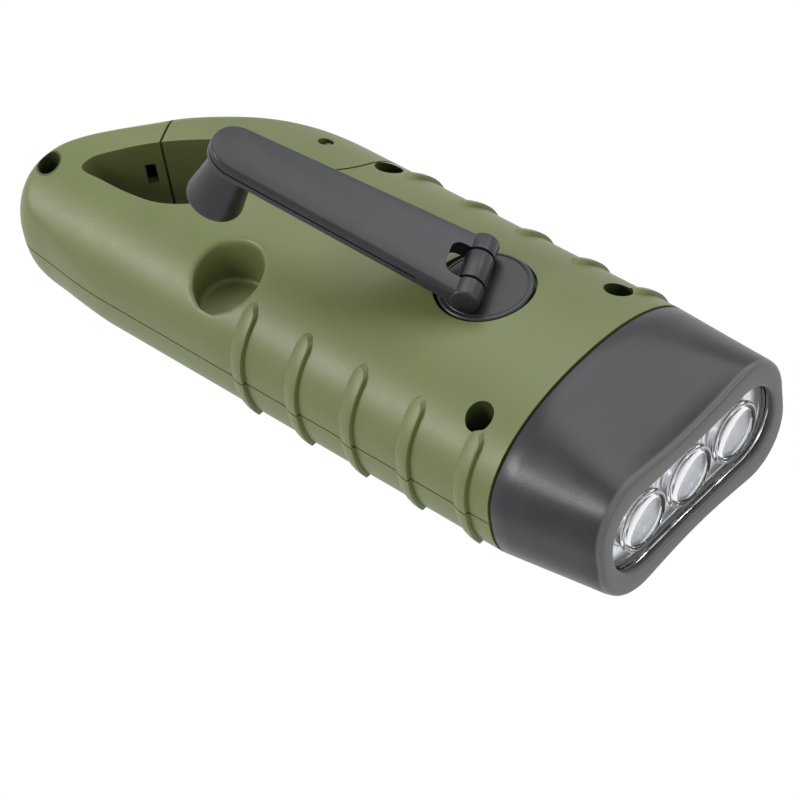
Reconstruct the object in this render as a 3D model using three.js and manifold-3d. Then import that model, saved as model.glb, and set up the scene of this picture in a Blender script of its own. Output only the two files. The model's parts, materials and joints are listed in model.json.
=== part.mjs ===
// A solar hand crank flashlight: a two-part case with a carabiner loop, a lamp head with three
// LEDs, a folding crank with its gear train and dynamo, and the electrics, each a piece of its own.
// Millimetres. +X runs from the tail loop to the lamp head, +Z is up, and the case lies on z = 0.
import * as THREE from "three";
import { mergeVertices } from "three/addons/utils/BufferGeometryUtils.js";
import Module from "manifold-3d";

const wasm = await Module();
wasm.setup();

// Driving dimensions

const clearance = 0.3; // between pieces that touch or turn in each other
const overrun = 1; // how far a cutter runs past the face that it cuts
const weld = 1e-4; // vertices closer than this are one vertex

const hull = {
  length: 125.7, // tail tip to lamp rim
  halfWidth: 23.7,
  topRise: 14.4, // above the parting plane, on the centre line
  bottomDrop: 15.6, // below the parting plane, before the flat underside cuts it
  partingHeight: 14.5, // of the parting plane above the underside
  topPower: 2.16,
  bottomPower: 2.8,
  wall: 1.8,
  seamGap: 0.3,
};
const lengthShares = { head: 0.156, tail: 0.4375 }; // of the whole length
const headLength = hull.length * lengthShares.head; // the lamp head in front of the seam
const tailLength = hull.length * lengthShares.tail; // where the plan narrows to the tip
const frontX = hull.length / 2;
const rearX = -hull.length / 2;
const seamX = frontX - headLength;
const tailX = rearX + tailLength;
const partingZ = hull.partingHeight;
const topZ = partingZ + hull.topRise;

// Where things stand: how far from the tail's tip along the length, and across the half width.
const placeShares = {
  crank: [0.6699, 0.1253],
  gatePivot: [0.3131, 0.6498],
  gateCut: [0.1444, 0.0591],
  tipScrew: [0.0434, -0.5992],
  shoulderScrew: [0.4069, 0.73],
  headScrew: [0.7888, 0.6751],
  plateScrewNear: [0.5971, -0.6076],
  plateScrewFar: [0.5652, 0.5738],
  plateScrewTail: [0.3934, 0.0844],
  boardRear: [0.5987, 0],
  boardFront: [0.7609, 0],
  cell: [0.6925, 0],
  chip: [0.6146, 0.1899],
  capacitor: [0.6162, -0.1899],
  button: [0.7721, 0],
  panel: [0.508, 0],
  firstRib: [0.4467, 0],
};
function alongCase(place) {
  return rearX + place[0] * hull.length;
}
function acrossCase(place) {
  return place[1] * hull.halfWidth;
}
function placed(place) {
  return { x: alongCase(place), y: acrossCase(place) };
}

// The plan of the tail, from the near side round the tip to the far side: how far along the tail
// and how far across the half width each point lies.
const planShares = [
  [0.602, -0.998], [0.798, -0.968], [0.93, -0.885], [0.988, -0.74], [1, -0.57], [0.973, -0.415],
  [0.896, -0.205], [0.805, 0.035], [0.72, 0.247], [0.551, 0.586], [0.4236, 0.77], [0.305, 0.883],
  [0.151, 0.971],
];
// The loop's hole, in the same shares.
const holeShares = [
  [0.791, -0.523], [0.696, -0.532], [0.587, -0.519], [0.487, -0.464], [0.396, -0.354],
  [0.324, -0.194], [0.275, 0], [0.265, 0.169], [0.307, 0.308], [0.378, 0.333], [0.46, 0.236],
  [0.56, 0.076], [0.651, -0.101], [0.733, -0.295], [0.787, -0.439],
];

const ribShares = { pitch: 0.0911 }; // of the whole length
const rib = {
  count: 5,
  pitch: hull.length * ribShares.pitch,
  firstX: alongCase(placeShares.firstRib),
  length: 4.8,
  height: 0.7,
  top: 24.9,
  bottom: 5.2,
};

const crank = {
  ...placed(placeShares.crank),
  turn: 26.5, // degrees from the tail direction, towards the near side
  lift: 30, // degrees that the arm is raised from its stowed place
  discRadius: 7.5,
  discTop: 28.7,
  discThick: 1.9,
  shaftRadius: 3,
  shaftBottom: 24,
  squareSide: 4,
  squareBottom: 21.3,
  boreRadius: 1.2,
  boreTop: 25.5,
  hingeX: 1.3, // along the arm from the hub's axis
  hingeRise: 2.4, // above the disc
  barrelRadius: 2.1,
  knuckleWidth: 5.8,
  webBack: 1.6,
  recessGap: 0.4,
};
const hingeZ = crank.discTop + crank.hingeRise;

const arm = {
  length: 44, // hinge axis to tip
  rootHalf: 6.6,
  tipHalf: 4.6,
  above: 1.3, // plate's top above the hinge axis
  below: 1.5,
  slotLength: 5.6, // clears the knuckle's web
  slotHalf: 3.2,
  edge: 0.5,
};
const knobX = arm.length - arm.tipHalf; // the knob turns at the middle of the arm's round tip
const hingePin = { radius: 0.8, halfLength: 6.2 };
const knob = {
  neckRadius: 3.6,
  endRadius: 4.6,
  length: 9.4,
  edge: 0.8,
  rivetRadius: 1.2,
  rivetHeadRadius: 2.1,
  rivetHeadThick: 0.7,
  counterbore: 1.4,
};
const pocket = { halfWidth: 6, inward: 5.8, outward: 7.6, floorGap: 0.9, wall: 1.6 };

const heelShares = { radius: 0.3882 }; // of the half width
const gate = {
  ...placed(placeShares.gatePivot),
  heelRadius: hull.halfWidth * heelShares.radius,
  heelFromShare: 0.68, // of a turn, where the heel's arc begins
  gap: 0.4,
  cutX: alongCase(placeShares.gateCut), // middle of the free end's cut
  cutY: acrossCase(placeShares.gateCut),
  cutAngle: 119, // degrees of the cut's line
  earLevel: 5.3, // the ears begin this far above and below the parting plane
  tongueRadius: 6,
  tongueHalf: 4.4,
  pinRadius: 1,
  pinSink: 0.9,
  pinBottom: 2.4,
  springPocket: 2.9,
};
const gateSpring = { radius: 2.1, wire: 0.5, curls: 3, pitch: 0.95, steps: 8, sides: 5, floor: 0.8 };

const caseScrew = {
  headRadius: 1.8,
  headThick: 1.8,
  counterboreRadius: 2.15,
  seat: 4, // head seat above the parting plane
  shankRadius: 1,
  shankLength: 11,
  bossRadius: 3.3,
  slotWidth: 0.6,
  slotDepth: 0.7,
};
// Where the four case screws stand: at the tip, on the far shoulder and at the head's lugs.
const tipScrew = placed(placeShares.tipScrew);
const shoulderScrew = placed(placeShares.shoulderScrew);
const headScrew = placed(placeShares.headScrew);

const bezel = {
  rimHalfWidth: 21.3,
  rimHalfHeight: 11.8,
  rimCorner: 9.6,
  waist: 1.5, // how far the rim draws in at its middle
  edge: 1.2,
  wall: 2,
  mouthHalfWidth: 18.7,
  mouthHalfHeight: 8.4,
  mouthCorner: 7.2,
  frontThick: 3.4,
  spigotLength: 3.6,
  spigotWall: 1.5,
  lugInner: 12.8,
  lugBack: 3.2,
  facePower: 1.5, // spreads the rim's points round its corners
};
const lens = { thick: 1.8, margin: 0.9, domeRadius: 4.75, domeRise: 1.9 };
const lamp = { pitch: 10.7, cupFront: 4.7, cupBack: 1.9, cupLength: 7.6, shellThick: 0.8 };
const led = { radius: 1.5, length: 4, flangeRadius: 2.1, flangeThick: 0.8 };
const ledBoard = { halfWidth: 16, halfHeight: 5, thick: 1.2 };

const gear = {
  module: 0.5,
  pressureAngle: 20, // degrees
  addendumShare: 0.85,
  dedendumShare: 1.2,
  toothShare: 0.42, // of the tooth's step, thinned for backlash
  spread: 0.15, // added to each centre distance
};
const train = {
  hubTeeth: 40,
  onePinionTeeth: 12,
  oneWheelTeeth: 36,
  twoPinionTeeth: 12,
  twoWheelTeeth: 32,
  rotorTeeth: 10,
  hubBottom: 21.5,
  wheelThick: 1.8,
  webGap: 0.4,
  oneAngle: 200, // degrees from one axis to the next
  twoAngle: 150,
  rotorAngle: -110,
  pinRadius: 0.8,
  boreRadius: 1.1,
  boltRadius: 0.9,
  boltHeadRadius: 3.2,
  boltHeadThick: 1.4,
};
const plate = {
  top: 13,
  thick: 1.5,
  margin: 3.4,
  screwRadius: 0.8,
  headRadius: 1.6,
  headThick: 1,
  bossRadius: 2.3,
};
const plateScrews = [
  placed(placeShares.plateScrewNear), placed(placeShares.plateScrewFar),
  placed(placeShares.plateScrewTail),
];
const dynamo = {
  canRadius: 9,
  canWall: 0.6,
  bottom: 4.6,
  coilInner: 5.6,
  coilGap: 0.3,
  magnetRadius: 5,
  magnetHeight: 5,
  shaftRadius: 0.75,
  shaftBore: 1.05,
};

const board = {
  x0: alongCase(placeShares.boardRear),
  x1: alongCase(placeShares.boardFront),
  halfWidth: 12,
  bottom: 7,
  thick: 1.2,
  postRadius: 1.6,
  postInset: 2.4,
};
const cell = { radius: 8, height: 6.5, ...placed(placeShares.cell) };
const chip = { side: 3.2, thick: 1, ...placed(placeShares.chip) };
const capacitor = { radius: 1.6, height: 2.6, ...placed(placeShares.capacitor) };
const button = {
  x: alongCase(placeShares.button),
  radius: 4,
  flangeRadius: 5,
  flangeThick: 1,
  sink: 0.4,
  stemRadius: 1.3,
  stemLength: 0.9,
};
const switchBody = { side: 6, height: 2.4, tongue: 2.4 };
const panel = {
  x: alongCase(placeShares.panel),
  halfLength: 13,
  halfWidth: 11,
  thick: 0.8,
  frame: 1.5, // round the cells, where the lead comes out
  windowThick: 0.9,
  sink: 0.2,
  lift: 0.3,
};
const lead = { radius: 0.45, sides: 8, steps: 10 };

const round = { large: 36, medium: 20, small: 12 }; // sides of round things
const planSteps = 40; // points round a plan outline
const sectionSteps = 48; // points round a cross-section

// Finishes

function finish(colour, roughness, metalness = 0) {
  return new THREE.MeshStandardMaterial({ color: colour, roughness, metalness });
}
const olive = finish(0x6f7b4d, 0.45);
const charcoal = finish(0x303237, 0.4);
const clear = finish(0xe8f0f4, 0.08);
clear.transparent = true;
clear.opacity = 0.35;
const silver = finish(0xd7dade, 0.15, 1);
const steel = finish(0xb4b8bc, 0.35, 1);
const lampYellow = finish(0xf2eec0, 0.3);
const nylon = finish(0xe6e2d6, 0.5);
const boardGreen = finish(0x1f5a38, 0.5);
const blackResin = finish(0x1a1b1d, 0.5);
const copper = finish(0xb06a3a, 0.35, 1);
const magnetGrey = finish(0x55585c, 0.5, 0.6);
const panelBlue = finish(0x1b2740, 0.25);
const leadRed = finish(0xa8322c, 0.5);

// Solids and outlines

// A closed geometry as a solid, with the triangles that welding flattens left out.
function solid(geometry) {
  const bare = geometry.clone();
  bare.deleteAttribute("normal");
  bare.deleteAttribute("uv");
  const merged = mergeVertices(bare, weld);
  const corners = merged.index.array;
  const kept = [];
  for (let i = 0; i < corners.length; i += 3) {
    const [a, b, c] = [corners[i], corners[i + 1], corners[i + 2]];
    if (a !== b && b !== c && c !== a) kept.push(a, b, c);
  }
  const vertProperties = merged.attributes.position.array;
  return new wasm.Manifold(new wasm.Mesh({ numProp: 3, vertProperties, triVerts: new Uint32Array(kept) }));
}

function join(first, ...others) {
  return others.reduce((whole, other) => whole.add(other), first);
}

function cut(whole, ...cutters) {
  return cutters.reduce((left, cutter) => left.subtract(cutter), whole);
}

// A solid as a named mesh.
function piece(name, body, material) {
  const made = body.getMesh();
  const geometry = new THREE.BufferGeometry();
  geometry.setAttribute("position", new THREE.BufferAttribute(made.vertProperties, made.numProp));
  geometry.setIndex(new THREE.BufferAttribute(made.triVerts, 1));
  geometry.computeVertexNormals();
  const mesh = new THREE.Mesh(geometry, material);
  mesh.name = name;
  return mesh;
}

function rad(degrees) {
  return THREE.MathUtils.degToRad(degrees);
}

// A polygon pulled up from z = low to z = high.
function prism(points, low, high) {
  const shape = new THREE.Shape(points.map(([x, y]) => new THREE.Vector2(x, y)));
  const geometry = new THREE.ExtrudeGeometry(shape, { depth: high - low, bevelEnabled: false });
  return solid(geometry.translate(0, 0, low));
}

function box(x0, x1, y0, y1, z0, z1) {
  const geometry = new THREE.BoxGeometry(x1 - x0, y1 - y0, z1 - z0);
  return solid(geometry.translate((x0 + x1) / 2, (y0 + y1) / 2, (z0 + z1) / 2));
}

// An upright cylinder, or a cone where its two radii differ.
function post(x, y, radius, low, high, sides = round.small, topRadius = radius) {
  const geometry = new THREE.CylinderGeometry(topRadius, radius, high - low, sides);
  return solid(geometry.rotateX(Math.PI / 2).translate(x, y, (low + high) / 2));
}

// A profile of [radius, height] points turned about an upright axis.
function turned(profile, sides = round.medium) {
  const geometry = new THREE.LatheGeometry(profile.map(([r, z]) => new THREE.Vector2(r, z)), sides);
  return geometry.rotateX(Math.PI / 2);
}

// A closed skin through rings of equally many points, each ring a list of [x, y, z].
function loft(rings) {
  const n = rings[0].length;
  const positions = rings.flat(2);
  const index = [];
  for (let k = 0; k < rings.length - 1; k++) {
    for (let i = 0; i < n; i++) {
      const a = k * n + i;
      const b = k * n + ((i + 1) % n);
      index.push(a, b, b + n, a, b + n, a + n);
    }
  }
  const flat = rings[0].map(([, y, z]) => new THREE.Vector2(y, z));
  const last = (rings.length - 1) * n;
  for (const [a, b, c] of THREE.ShapeUtils.triangulateShape(flat, [])) {
    index.push(a, c, b, last + a, last + b, last + c);
  }
  const geometry = new THREE.BufferGeometry();
  geometry.setAttribute("position", new THREE.Float32BufferAttribute(positions, 3));
  geometry.setIndex(index);
  return solid(geometry);
}

// Moves each point of a closed outline outwards, or inwards where the distance is negative.
function offset(points, distance) {
  const turnsLeft = THREE.ShapeUtils.area(points.map(([x, y]) => new THREE.Vector2(x, y))) > 0;
  const side = turnsLeft ? 1 : -1;
  return points.map(([x, y], i) => {
    const [px, py] = points[(i + points.length - 1) % points.length];
    const [nx, ny] = points[(i + 1) % points.length];
    const run = Math.hypot(nx - px, ny - py);
    return [x + (side * distance * (ny - py)) / run, y - (side * distance * (nx - px)) / run];
  });
}

function circle(x, y, radius, sides = round.medium) {
  const step = (2 * Math.PI) / sides;
  const at = (angle) => [x + radius * Math.cos(angle), y + radius * Math.sin(angle)];
  return Array.from({ length: sides }, (_, i) => at(i * step));
}

// A rectangle with round corners, centred on the origin, turning left.
function roundedRectangle(halfX, halfY, corner, steps = round.small / 4) {
  const points = [];
  [[1, 1], [-1, 1], [-1, -1], [1, -1]].forEach(([sx, sy], quarter) => {
    for (let i = 0; i <= steps; i++) {
      const angle = ((quarter + i / steps) * Math.PI) / 2;
      const cx = sx * (halfX - corner);
      const cy = sy * (halfY - corner);
      points.push([cx + corner * Math.cos(angle), cy + corner * Math.sin(angle)]);
    }
  });
  return points;
}

// A tube of one radius along points, with flat ends.
function tube(points, radius, steps, sides) {
  const curve = new THREE.CatmullRomCurve3(points.map((p) => new THREE.Vector3(...p)), false, "centripetal");
  const section = new THREE.Shape(circle(0, 0, radius, sides).map(([x, y]) => new THREE.Vector2(x, y)));
  return solid(new THREE.ExtrudeGeometry(section, { steps, extrudePath: curve, curveSegments: sides }));
}

// The case's outer and inner forms

// One cross-section of the case: superellipses above and below the parting plane, drawn in by
// inset, with the lower one cut flat by the underside.
function section(inset = 0) {
  const points = [];
  for (let i = 0; i < sectionSteps; i++) {
    const angle = (2 * Math.PI * (i + 0.5)) / sectionSteps;
    const upper = Math.sin(angle) > 0;
    const power = upper ? hull.topPower : hull.bottomPower;
    const tall = (upper ? hull.topRise : hull.bottomDrop) - inset;
    const across = Math.abs(Math.cos(angle)) ** (2 / power) * Math.sign(Math.cos(angle));
    const up = Math.abs(Math.sin(angle)) ** (2 / power) * Math.sign(Math.sin(angle));
    points.push([(hull.halfWidth - inset) * across, Math.max(partingZ + tall * up, inset)]);
  }
  return points;
}

function sectionAt(x, inset = 0) {
  return section(inset).map(([y, z]) => [x, y, z]);
}

// The height of the case's outside at a distance from its middle plane.
function surfaceZ(y) {
  const share = Math.abs(y / hull.halfWidth) ** hull.topPower;
  return partingZ + hull.topRise * (1 - share) ** (1 / hull.topPower);
}

function fromShares(shares) {
  return shares.map(([along, across]) => [tailX - along * tailLength, across * hull.halfWidth]);
}

// The plan outline from the front round the tip, drawn in by inset.
function planOutline(front, inset = 0) {
  const through = [[tailX, -hull.halfWidth], ...fromShares(planShares), [tailX, hull.halfWidth]];
  const bend = new THREE.SplineCurve(through.map(([x, y]) => new THREE.Vector2(x, y)));
  const tail = bend.getPoints(planSteps).map((p) => [p.x, p.y]);
  const wide = hull.halfWidth + rib.height + overrun;
  const outline = offset([[front, -hull.halfWidth], ...tail, [front, hull.halfWidth]], -inset);
  outline[0] = [front, outline[1][1]];
  outline[outline.length - 1] = [front, outline[outline.length - 2][1]];
  return inset ? outline : outline.map(([x, y]) => (x >= tailX ? [x, Math.sign(y) * wide] : [x, y]));
}

const holeCurve = new THREE.CatmullRomCurve3(
  fromShares(holeShares).map(([x, y]) => new THREE.Vector3(x, y, 0)), true, "centripetal",
);
const holeOutline = holeCurve.getPoints(planSteps).slice(1).map((p) => [p.x, p.y]).reverse();

const above = topZ + overrun;
const below = -overrun;

// The solid case without its hole, drawn in by inset.
function caseForm(inset, front) {
  const bar = loft([sectionAt(rearX - overrun, inset), sectionAt(front, inset)]);
  return bar.intersect(prism(planOutline(front + overrun, inset), below, above));
}

// One grip rib on one side: it rises towards the head and ends there in a step.
function gripRib(index, side) {
  const x1 = rib.firstX + index * rib.pitch;
  const x0 = x1 - rib.length;
  const wedge = loft([sectionAt(x0, hull.wall / 2), sectionAt(x1, -rib.height)]);
  const radius = rib.length / 2;
  const window = [[x0, rib.bottom], [x1, rib.bottom]];
  for (let i = 0; i <= round.small / 2; i++) {
    const angle = (Math.PI * i) / (round.small / 2);
    window.push([x0 + radius + radius * Math.cos(angle), rib.top - radius + radius * Math.sin(angle)]);
  }
  const shape = new THREE.Shape(window.map(([x, z]) => new THREE.Vector2(x, z)));
  const depth = hull.halfWidth / 2 + rib.height;
  const geometry = new THREE.ExtrudeGeometry(shape, { depth, bevelEnabled: false });
  geometry.rotateX(Math.PI / 2);
  geometry.translate(0, side > 0 ? hull.halfWidth + rib.height : -hull.halfWidth / 2, 0);
  return wedge.intersect(solid(geometry));
}

const ribs = [];
for (let i = 0; i < rib.count; i++) ribs.push(gripRib(i, 1), gripRib(i, -1));

// The gate's zone in plan, grown by a gap on the sides where it meets the case.
function gateZone(grow) {
  const radius = gate.heelRadius + grow;
  const along = [Math.cos(rad(gate.cutAngle)), Math.sin(rad(gate.cutAngle))];
  const out = hull.halfWidth;
  const cutX = gate.cutX - grow * along[1];
  const cutY = gate.cutY + grow * along[0];
  const inner = gate.heelRadius;
  const points = [[gate.x + radius, gate.y + out], [cutX + out * along[0], cutY + out * along[1]]];
  points.push([cutX - inner * along[0], cutY - inner * along[1]]);
  for (let i = 0; i <= round.medium; i++) {
    const share = gate.heelFromShare + (1 - gate.heelFromShare) * (i / round.medium);
    const angle = 2 * Math.PI * share;
    points.push([gate.x + radius * Math.cos(angle), gate.y + radius * Math.sin(angle)]);
  }
  return points;
}

// The stowed knob's place: along the arm from the hub's axis, in the case's frame.
const crankAngle = rad(180 + crank.turn);
function alongArm(distance) {
  return [crank.x + distance * Math.cos(crankAngle), crank.y + distance * Math.sin(crankAngle)];
}
const stowedKnob = crank.hingeX + knobX;
const knobFloor = hingeZ - arm.below - clearance - knob.length;
const pocketFloor = knobFloor - pocket.floorGap;

// The pocket's outline: two half circles along the stowed arm.
function pocketOutline(grow) {
  const radius = pocket.halfWidth + grow;
  const points = [];
  [[pocket.outward, 0], [-pocket.inward, Math.PI]].forEach(([reach, turn]) => {
    const middle = alongArm(stowedKnob + reach - Math.sign(reach) * pocket.halfWidth);
    for (let i = 0; i <= round.small; i++) {
      const angle = crankAngle + turn - Math.PI / 2 + (Math.PI * i) / round.small;
      points.push([middle[0] + radius * Math.cos(angle), middle[1] + radius * Math.sin(angle)]);
    }
  });
  return points;
}

const screwPlaces = [
  tipScrew, shoulderScrew, { x: headScrew.x, y: headScrew.y }, { x: headScrew.x, y: -headScrew.y },
];
const screwSeat = partingZ + caseScrew.seat;
const lugTop = partingZ + caseScrew.seat - caseScrew.headThick / 2;
const shellFront = seamX - hull.seamGap / 2;

// What stays solid inside the case: walls of the hole, pocket and gate, and the screw bosses.
function kept() {
  const bosses = screwPlaces.map((at) => post(at.x, at.y, caseScrew.bossRadius, below, above));
  return join(
    prism(offset(holeOutline, hull.wall), below, above),
    prism(gateZone(gate.gap + hull.wall), below, above),
    prism(pocketOutline(pocket.wall), pocketFloor - pocket.wall, above),
    ...bosses,
  );
}

const solidCase = join(caseForm(0, shellFront), ...ribs);
const hollow = cut(caseForm(hull.wall, shellFront + overrun), kept());
const gateRoom = prism(gateZone(gate.gap), below, above);

// The tongue that carries the gate's pin between its ears.
const tongueLow = partingZ - gate.tongueHalf;
const tongueHigh = partingZ + gate.tongueHalf;
const tongueHalfWidth = gate.tongueRadius / 2;
const tongueRoot = gate.x + gate.heelRadius + gate.gap + hull.wall / 2;
const tongue = join(
  post(gate.x, gate.y, gate.tongueRadius, tongueLow, tongueHigh, round.medium),
  box(gate.x, tongueRoot, gate.y - tongueHalfWidth, gate.y + tongueHalfWidth, tongueLow, tongueHigh),
).intersect(caseForm(hull.seamGap, shellFront));

const halfGap = clearance / 2;
const everywhere = hull.length;
function upperHalf(body) {
  return body.intersect(box(-everywhere, everywhere, -everywhere, everywhere, partingZ + halfGap, above));
}
function lowerHalf(body) {
  return body.intersect(box(-everywhere, everywhere, -everywhere, everywhere, below, partingZ - halfGap));
}

// Upper shell

const recessFloor = crank.discTop - crank.discThick - clearance;
const hubBossBottom = crank.shaftBottom + clearance;
const pinSocketBottom = hubBossBottom - clearance;
const pinRoom = gate.pinRadius + clearance;

function upperShell() {
  const hubBoss = post(crank.x, crank.y, crank.discRadius, hubBossBottom, recessFloor + overrun, round.large);
  const inside = caseForm(hull.wall / 2, shellFront);
  const bossBottom = plate.top + clearance;
  const plateBosses = plateScrews.map((at) => post(at.x, at.y, plate.bossRadius, bossBottom, above));
  const pinBoss = post(trainOne.x, trainOne.y, plate.bossRadius, pinSocketBottom, above);
  const hole = prism(holeOutline, below, above);
  const knobRoom = prism(pocketOutline(0), pocketFloor, above);
  const body = join(
    cut(solidCase, hole, knobRoom, hollow, gateRoom),
    hubBoss.intersect(inside),
    tongue,
    ...[...plateBosses, pinBoss].map((boss) => boss.intersect(inside)),
  );
  const screwHoles = screwPlaces.flatMap((at) => [
    post(at.x, at.y, caseScrew.counterboreRadius, screwSeat, above),
    post(at.x, at.y, caseScrew.shankRadius + clearance, partingZ, screwSeat + overrun),
  ]);
  const lugSpaces = [-1, 1].map((side) => {
    const reach = caseScrew.bossRadius + clearance;
    const [x, y] = [headScrew.x, side * headScrew.y];
    return box(x - reach, x + reach, y - reach, y + reach, partingZ, lugTop);
  });
  const plateHoles = plateScrews.map((at) =>
    post(at.x, at.y, plate.screwRadius + clearance, plate.top, plate.top + 2 * plate.bossRadius),
  );
  return upperHalf(cut(
    body,
    post(crank.x, crank.y, crank.discRadius + crank.recessGap, recessFloor, above, round.large),
    post(crank.x, crank.y, crank.shaftRadius + clearance, hubBossBottom - overrun, above, round.medium),
    post(trainOne.x, trainOne.y, train.boreRadius, pinSocketBottom - overrun, pinSocketBottom + overrun),
    post(gate.x, gate.y, pinRoom, below, above),
    post(gate.x, gate.y, gate.springPocket, partingZ + gateSpring.floor, tongueHigh + overrun),
    ...screwHoles, ...lugSpaces, ...plateHoles,
  ));
}

// Lower shell

const buttonHole = button.radius + clearance;
const panelLeadX = panel.x + panel.halfLength - panel.frame;
const panelRoom = { x: panel.halfLength + clearance, y: panel.halfWidth + clearance };
const windowTop = panel.sink + panel.windowThick;
const panelBottom = windowTop + panel.lift;
const panelFloor = panelBottom + panel.thick + panel.lift;
const boardTop = board.bottom + board.thick;
const boardPosts = [-1, 1].flatMap((side) => [
  { x: board.x0 + board.postInset, y: side * (board.halfWidth - board.postInset) },
  { x: board.x1 - board.postInset, y: side * (board.halfWidth - board.postInset) },
]);

function lowerShell() {
  const inside = caseForm(hull.wall / 2, shellFront);
  const panelBacking = box(
    panel.x - panelRoom.x - hull.wall, panel.x + panelRoom.x + hull.wall,
    -panelRoom.y - hull.wall, panelRoom.y + hull.wall, hull.wall / 2, panelFloor + hull.wall,
  );
  const postTop = board.bottom - clearance;
  const posts = boardPosts.map((at) => post(at.x, at.y, board.postRadius, hull.wall / 2, postTop));
  const body = join(
    cut(solidCase, prism(holeOutline, below, above), hollow, gateRoom),
    tongue, cut(panelBacking.intersect(inside), gateRoom), ...posts,
  );
  const holeBottom = screwSeat - caseScrew.shankLength - clearance;
  const screwHoles = screwPlaces.map((at) =>
    post(at.x, at.y, caseScrew.shankRadius + clearance, holeBottom, partingZ),
  );
  return lowerHalf(cut(
    body,
    box(panel.x - panelRoom.x, panel.x + panelRoom.x, -panelRoom.y, panelRoom.y, below, panelFloor),
    post(panelLeadX, 0, lead.radius + 2 * clearance, below, panelFloor + 2 * hull.wall),
    post(button.x, 0, buttonHole, below, hull.wall + overrun, round.medium),
    post(gate.x, gate.y, pinRoom, below, above),
    ...screwHoles,
  ));
}

// Gears

// A gear's outline: involute flanks, thinned for backlash, at a turn about its own axis.
function gearOutline(teeth, turn) {
  const pitchRadius = (gear.module * teeth) / 2;
  const base = pitchRadius * Math.cos(rad(gear.pressureAngle));
  const tip = pitchRadius + gear.addendumShare * gear.module;
  const root = pitchRadius - gear.dedendumShare * gear.module;
  const involute = (r) => {
    const angle = Math.acos(Math.min(1, base / r));
    return Math.tan(angle) - angle;
  };
  const step = (2 * Math.PI) / teeth;
  const half = gear.toothShare * (step / 2) + involute(pitchRadius);
  const flank = [root, tip];
  const points = [];
  for (let i = 0; i < teeth; i++) {
    const middle = turn + i * step;
    const sides = flank.map((r) => [r, half - involute(Math.max(r, base))]);
    const at = (r, angle) => [r * Math.cos(angle), r * Math.sin(angle)];
    for (const [r, a] of sides) points.push(at(r, middle - a));
    for (const [r, a] of sides.reverse()) points.push(at(r, middle + a));
  }
  return points;
}

function gearWheel(at, teeth, turn, low, high) {
  return prism(gearOutline(teeth, turn).map(([x, y]) => [at.x + x, at.y + y]), low, high);
}

// The next axis of the train, and the turn that puts its wheel in mesh with the one before.
function nextAxis(at, teeth, turn, angle, nextTeeth) {
  const distance = (gear.module * (teeth + nextTeeth)) / 2 + gear.spread;
  const direction = rad(angle);
  const step = (2 * Math.PI) / teeth;
  const phase = (((direction - turn) / step) % 1 + 1) % 1;
  return {
    x: at.x + distance * Math.cos(direction),
    y: at.y + distance * Math.sin(direction),
    turn: direction + Math.PI + ((phase - 0.5) * 2 * Math.PI) / nextTeeth,
  };
}

const trainOne = nextAxis(crank, train.hubTeeth, 0, train.oneAngle, train.onePinionTeeth);
const trainTwo = nextAxis(
  trainOne, train.oneWheelTeeth, trainOne.turn, train.twoAngle, train.twoPinionTeeth,
);
const trainRotor = nextAxis(
  trainTwo, train.twoWheelTeeth, trainTwo.turn, train.rotorAngle, train.rotorTeeth,
);

// Each wheel lies a gap below the one that drives it.
const hubGearTop = train.hubBottom + train.wheelThick;
const oneWheelTop = train.hubBottom - 3 * train.webGap;
const oneWheelBottom = oneWheelTop - train.wheelThick;
const twoWheelTop = oneWheelBottom - 3 * train.webGap;
const twoWheelBottom = twoWheelTop - train.wheelThick;

function compoundGear(at, wheelTeeth, pinionTeeth, bottom, wheelTop, pinionTop) {
  const body = join(
    gearWheel(at, wheelTeeth, at.turn, bottom, wheelTop),
    gearWheel(at, pinionTeeth, at.turn, wheelTop - weld, pinionTop),
  );
  return cut(body, post(at.x, at.y, train.boreRadius, bottom - overrun, pinionTop + overrun));
}

const plateTop = plate.top;
const plateBottom = plate.top - plate.thick;
const oneTop = hubGearTop + train.webGap;
const twoTop = oneWheelTop + train.webGap;
const pinFoot = plateBottom + clearance;

const gearOne = () =>
  compoundGear(trainOne, train.oneWheelTeeth, train.onePinionTeeth, oneWheelBottom, oneWheelTop, oneTop);
const gearTwo = () =>
  compoundGear(trainTwo, train.twoWheelTeeth, train.twoPinionTeeth, twoWheelBottom, twoWheelTop, twoTop);

// A gear's pin: a collar on the plate carries the gear a clearance above it.
function gearPin(at, gearBottom, top) {
  return join(
    post(at.x, at.y, train.pinRadius, pinFoot, top),
    post(at.x, at.y, train.boreRadius + clearance, plateTop + clearance, gearBottom - clearance),
  );
}

function gearPlate() {
  const corner = dynamo.canRadius * Math.SQRT1_2;
  const reach = [...plateScrews.map((at) => [at.x, at.y]), [trainRotor.x - corner, trainRotor.y - corner]];
  const shape = join(
    post(trainRotor.x, trainRotor.y, dynamo.canRadius, plateBottom, plateTop, round.medium),
    ...plateScrews.map((at) => post(at.x, at.y, plate.margin, plateBottom, plateTop)),
    prism(offset(reach, plate.margin), plateBottom, plateTop),
  );
  const holes = [
    ...plateScrews.map((at) => [at, plate.screwRadius + clearance]),
    [trainOne, train.boreRadius], [trainTwo, train.boreRadius], [trainRotor, dynamo.shaftBore],
  ];
  const bore = ([at, radius]) => post(at.x, at.y, radius, plateBottom - overrun, plateTop + overrun);
  return cut(shape, ...holes.map(bore));
}

function plateScrew(at) {
  const headTop = plateBottom - clearance;
  return join(
    post(at.x, at.y, plate.headRadius, headTop - plate.headThick, headTop),
    post(at.x, at.y, plate.screwRadius, headTop - weld, plateTop + 2 * plate.bossRadius - clearance),
  );
}

// Dynamo

const canTop = plateBottom - clearance;
const magnetBottom = dynamo.bottom + dynamo.canWall + clearance;

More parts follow.
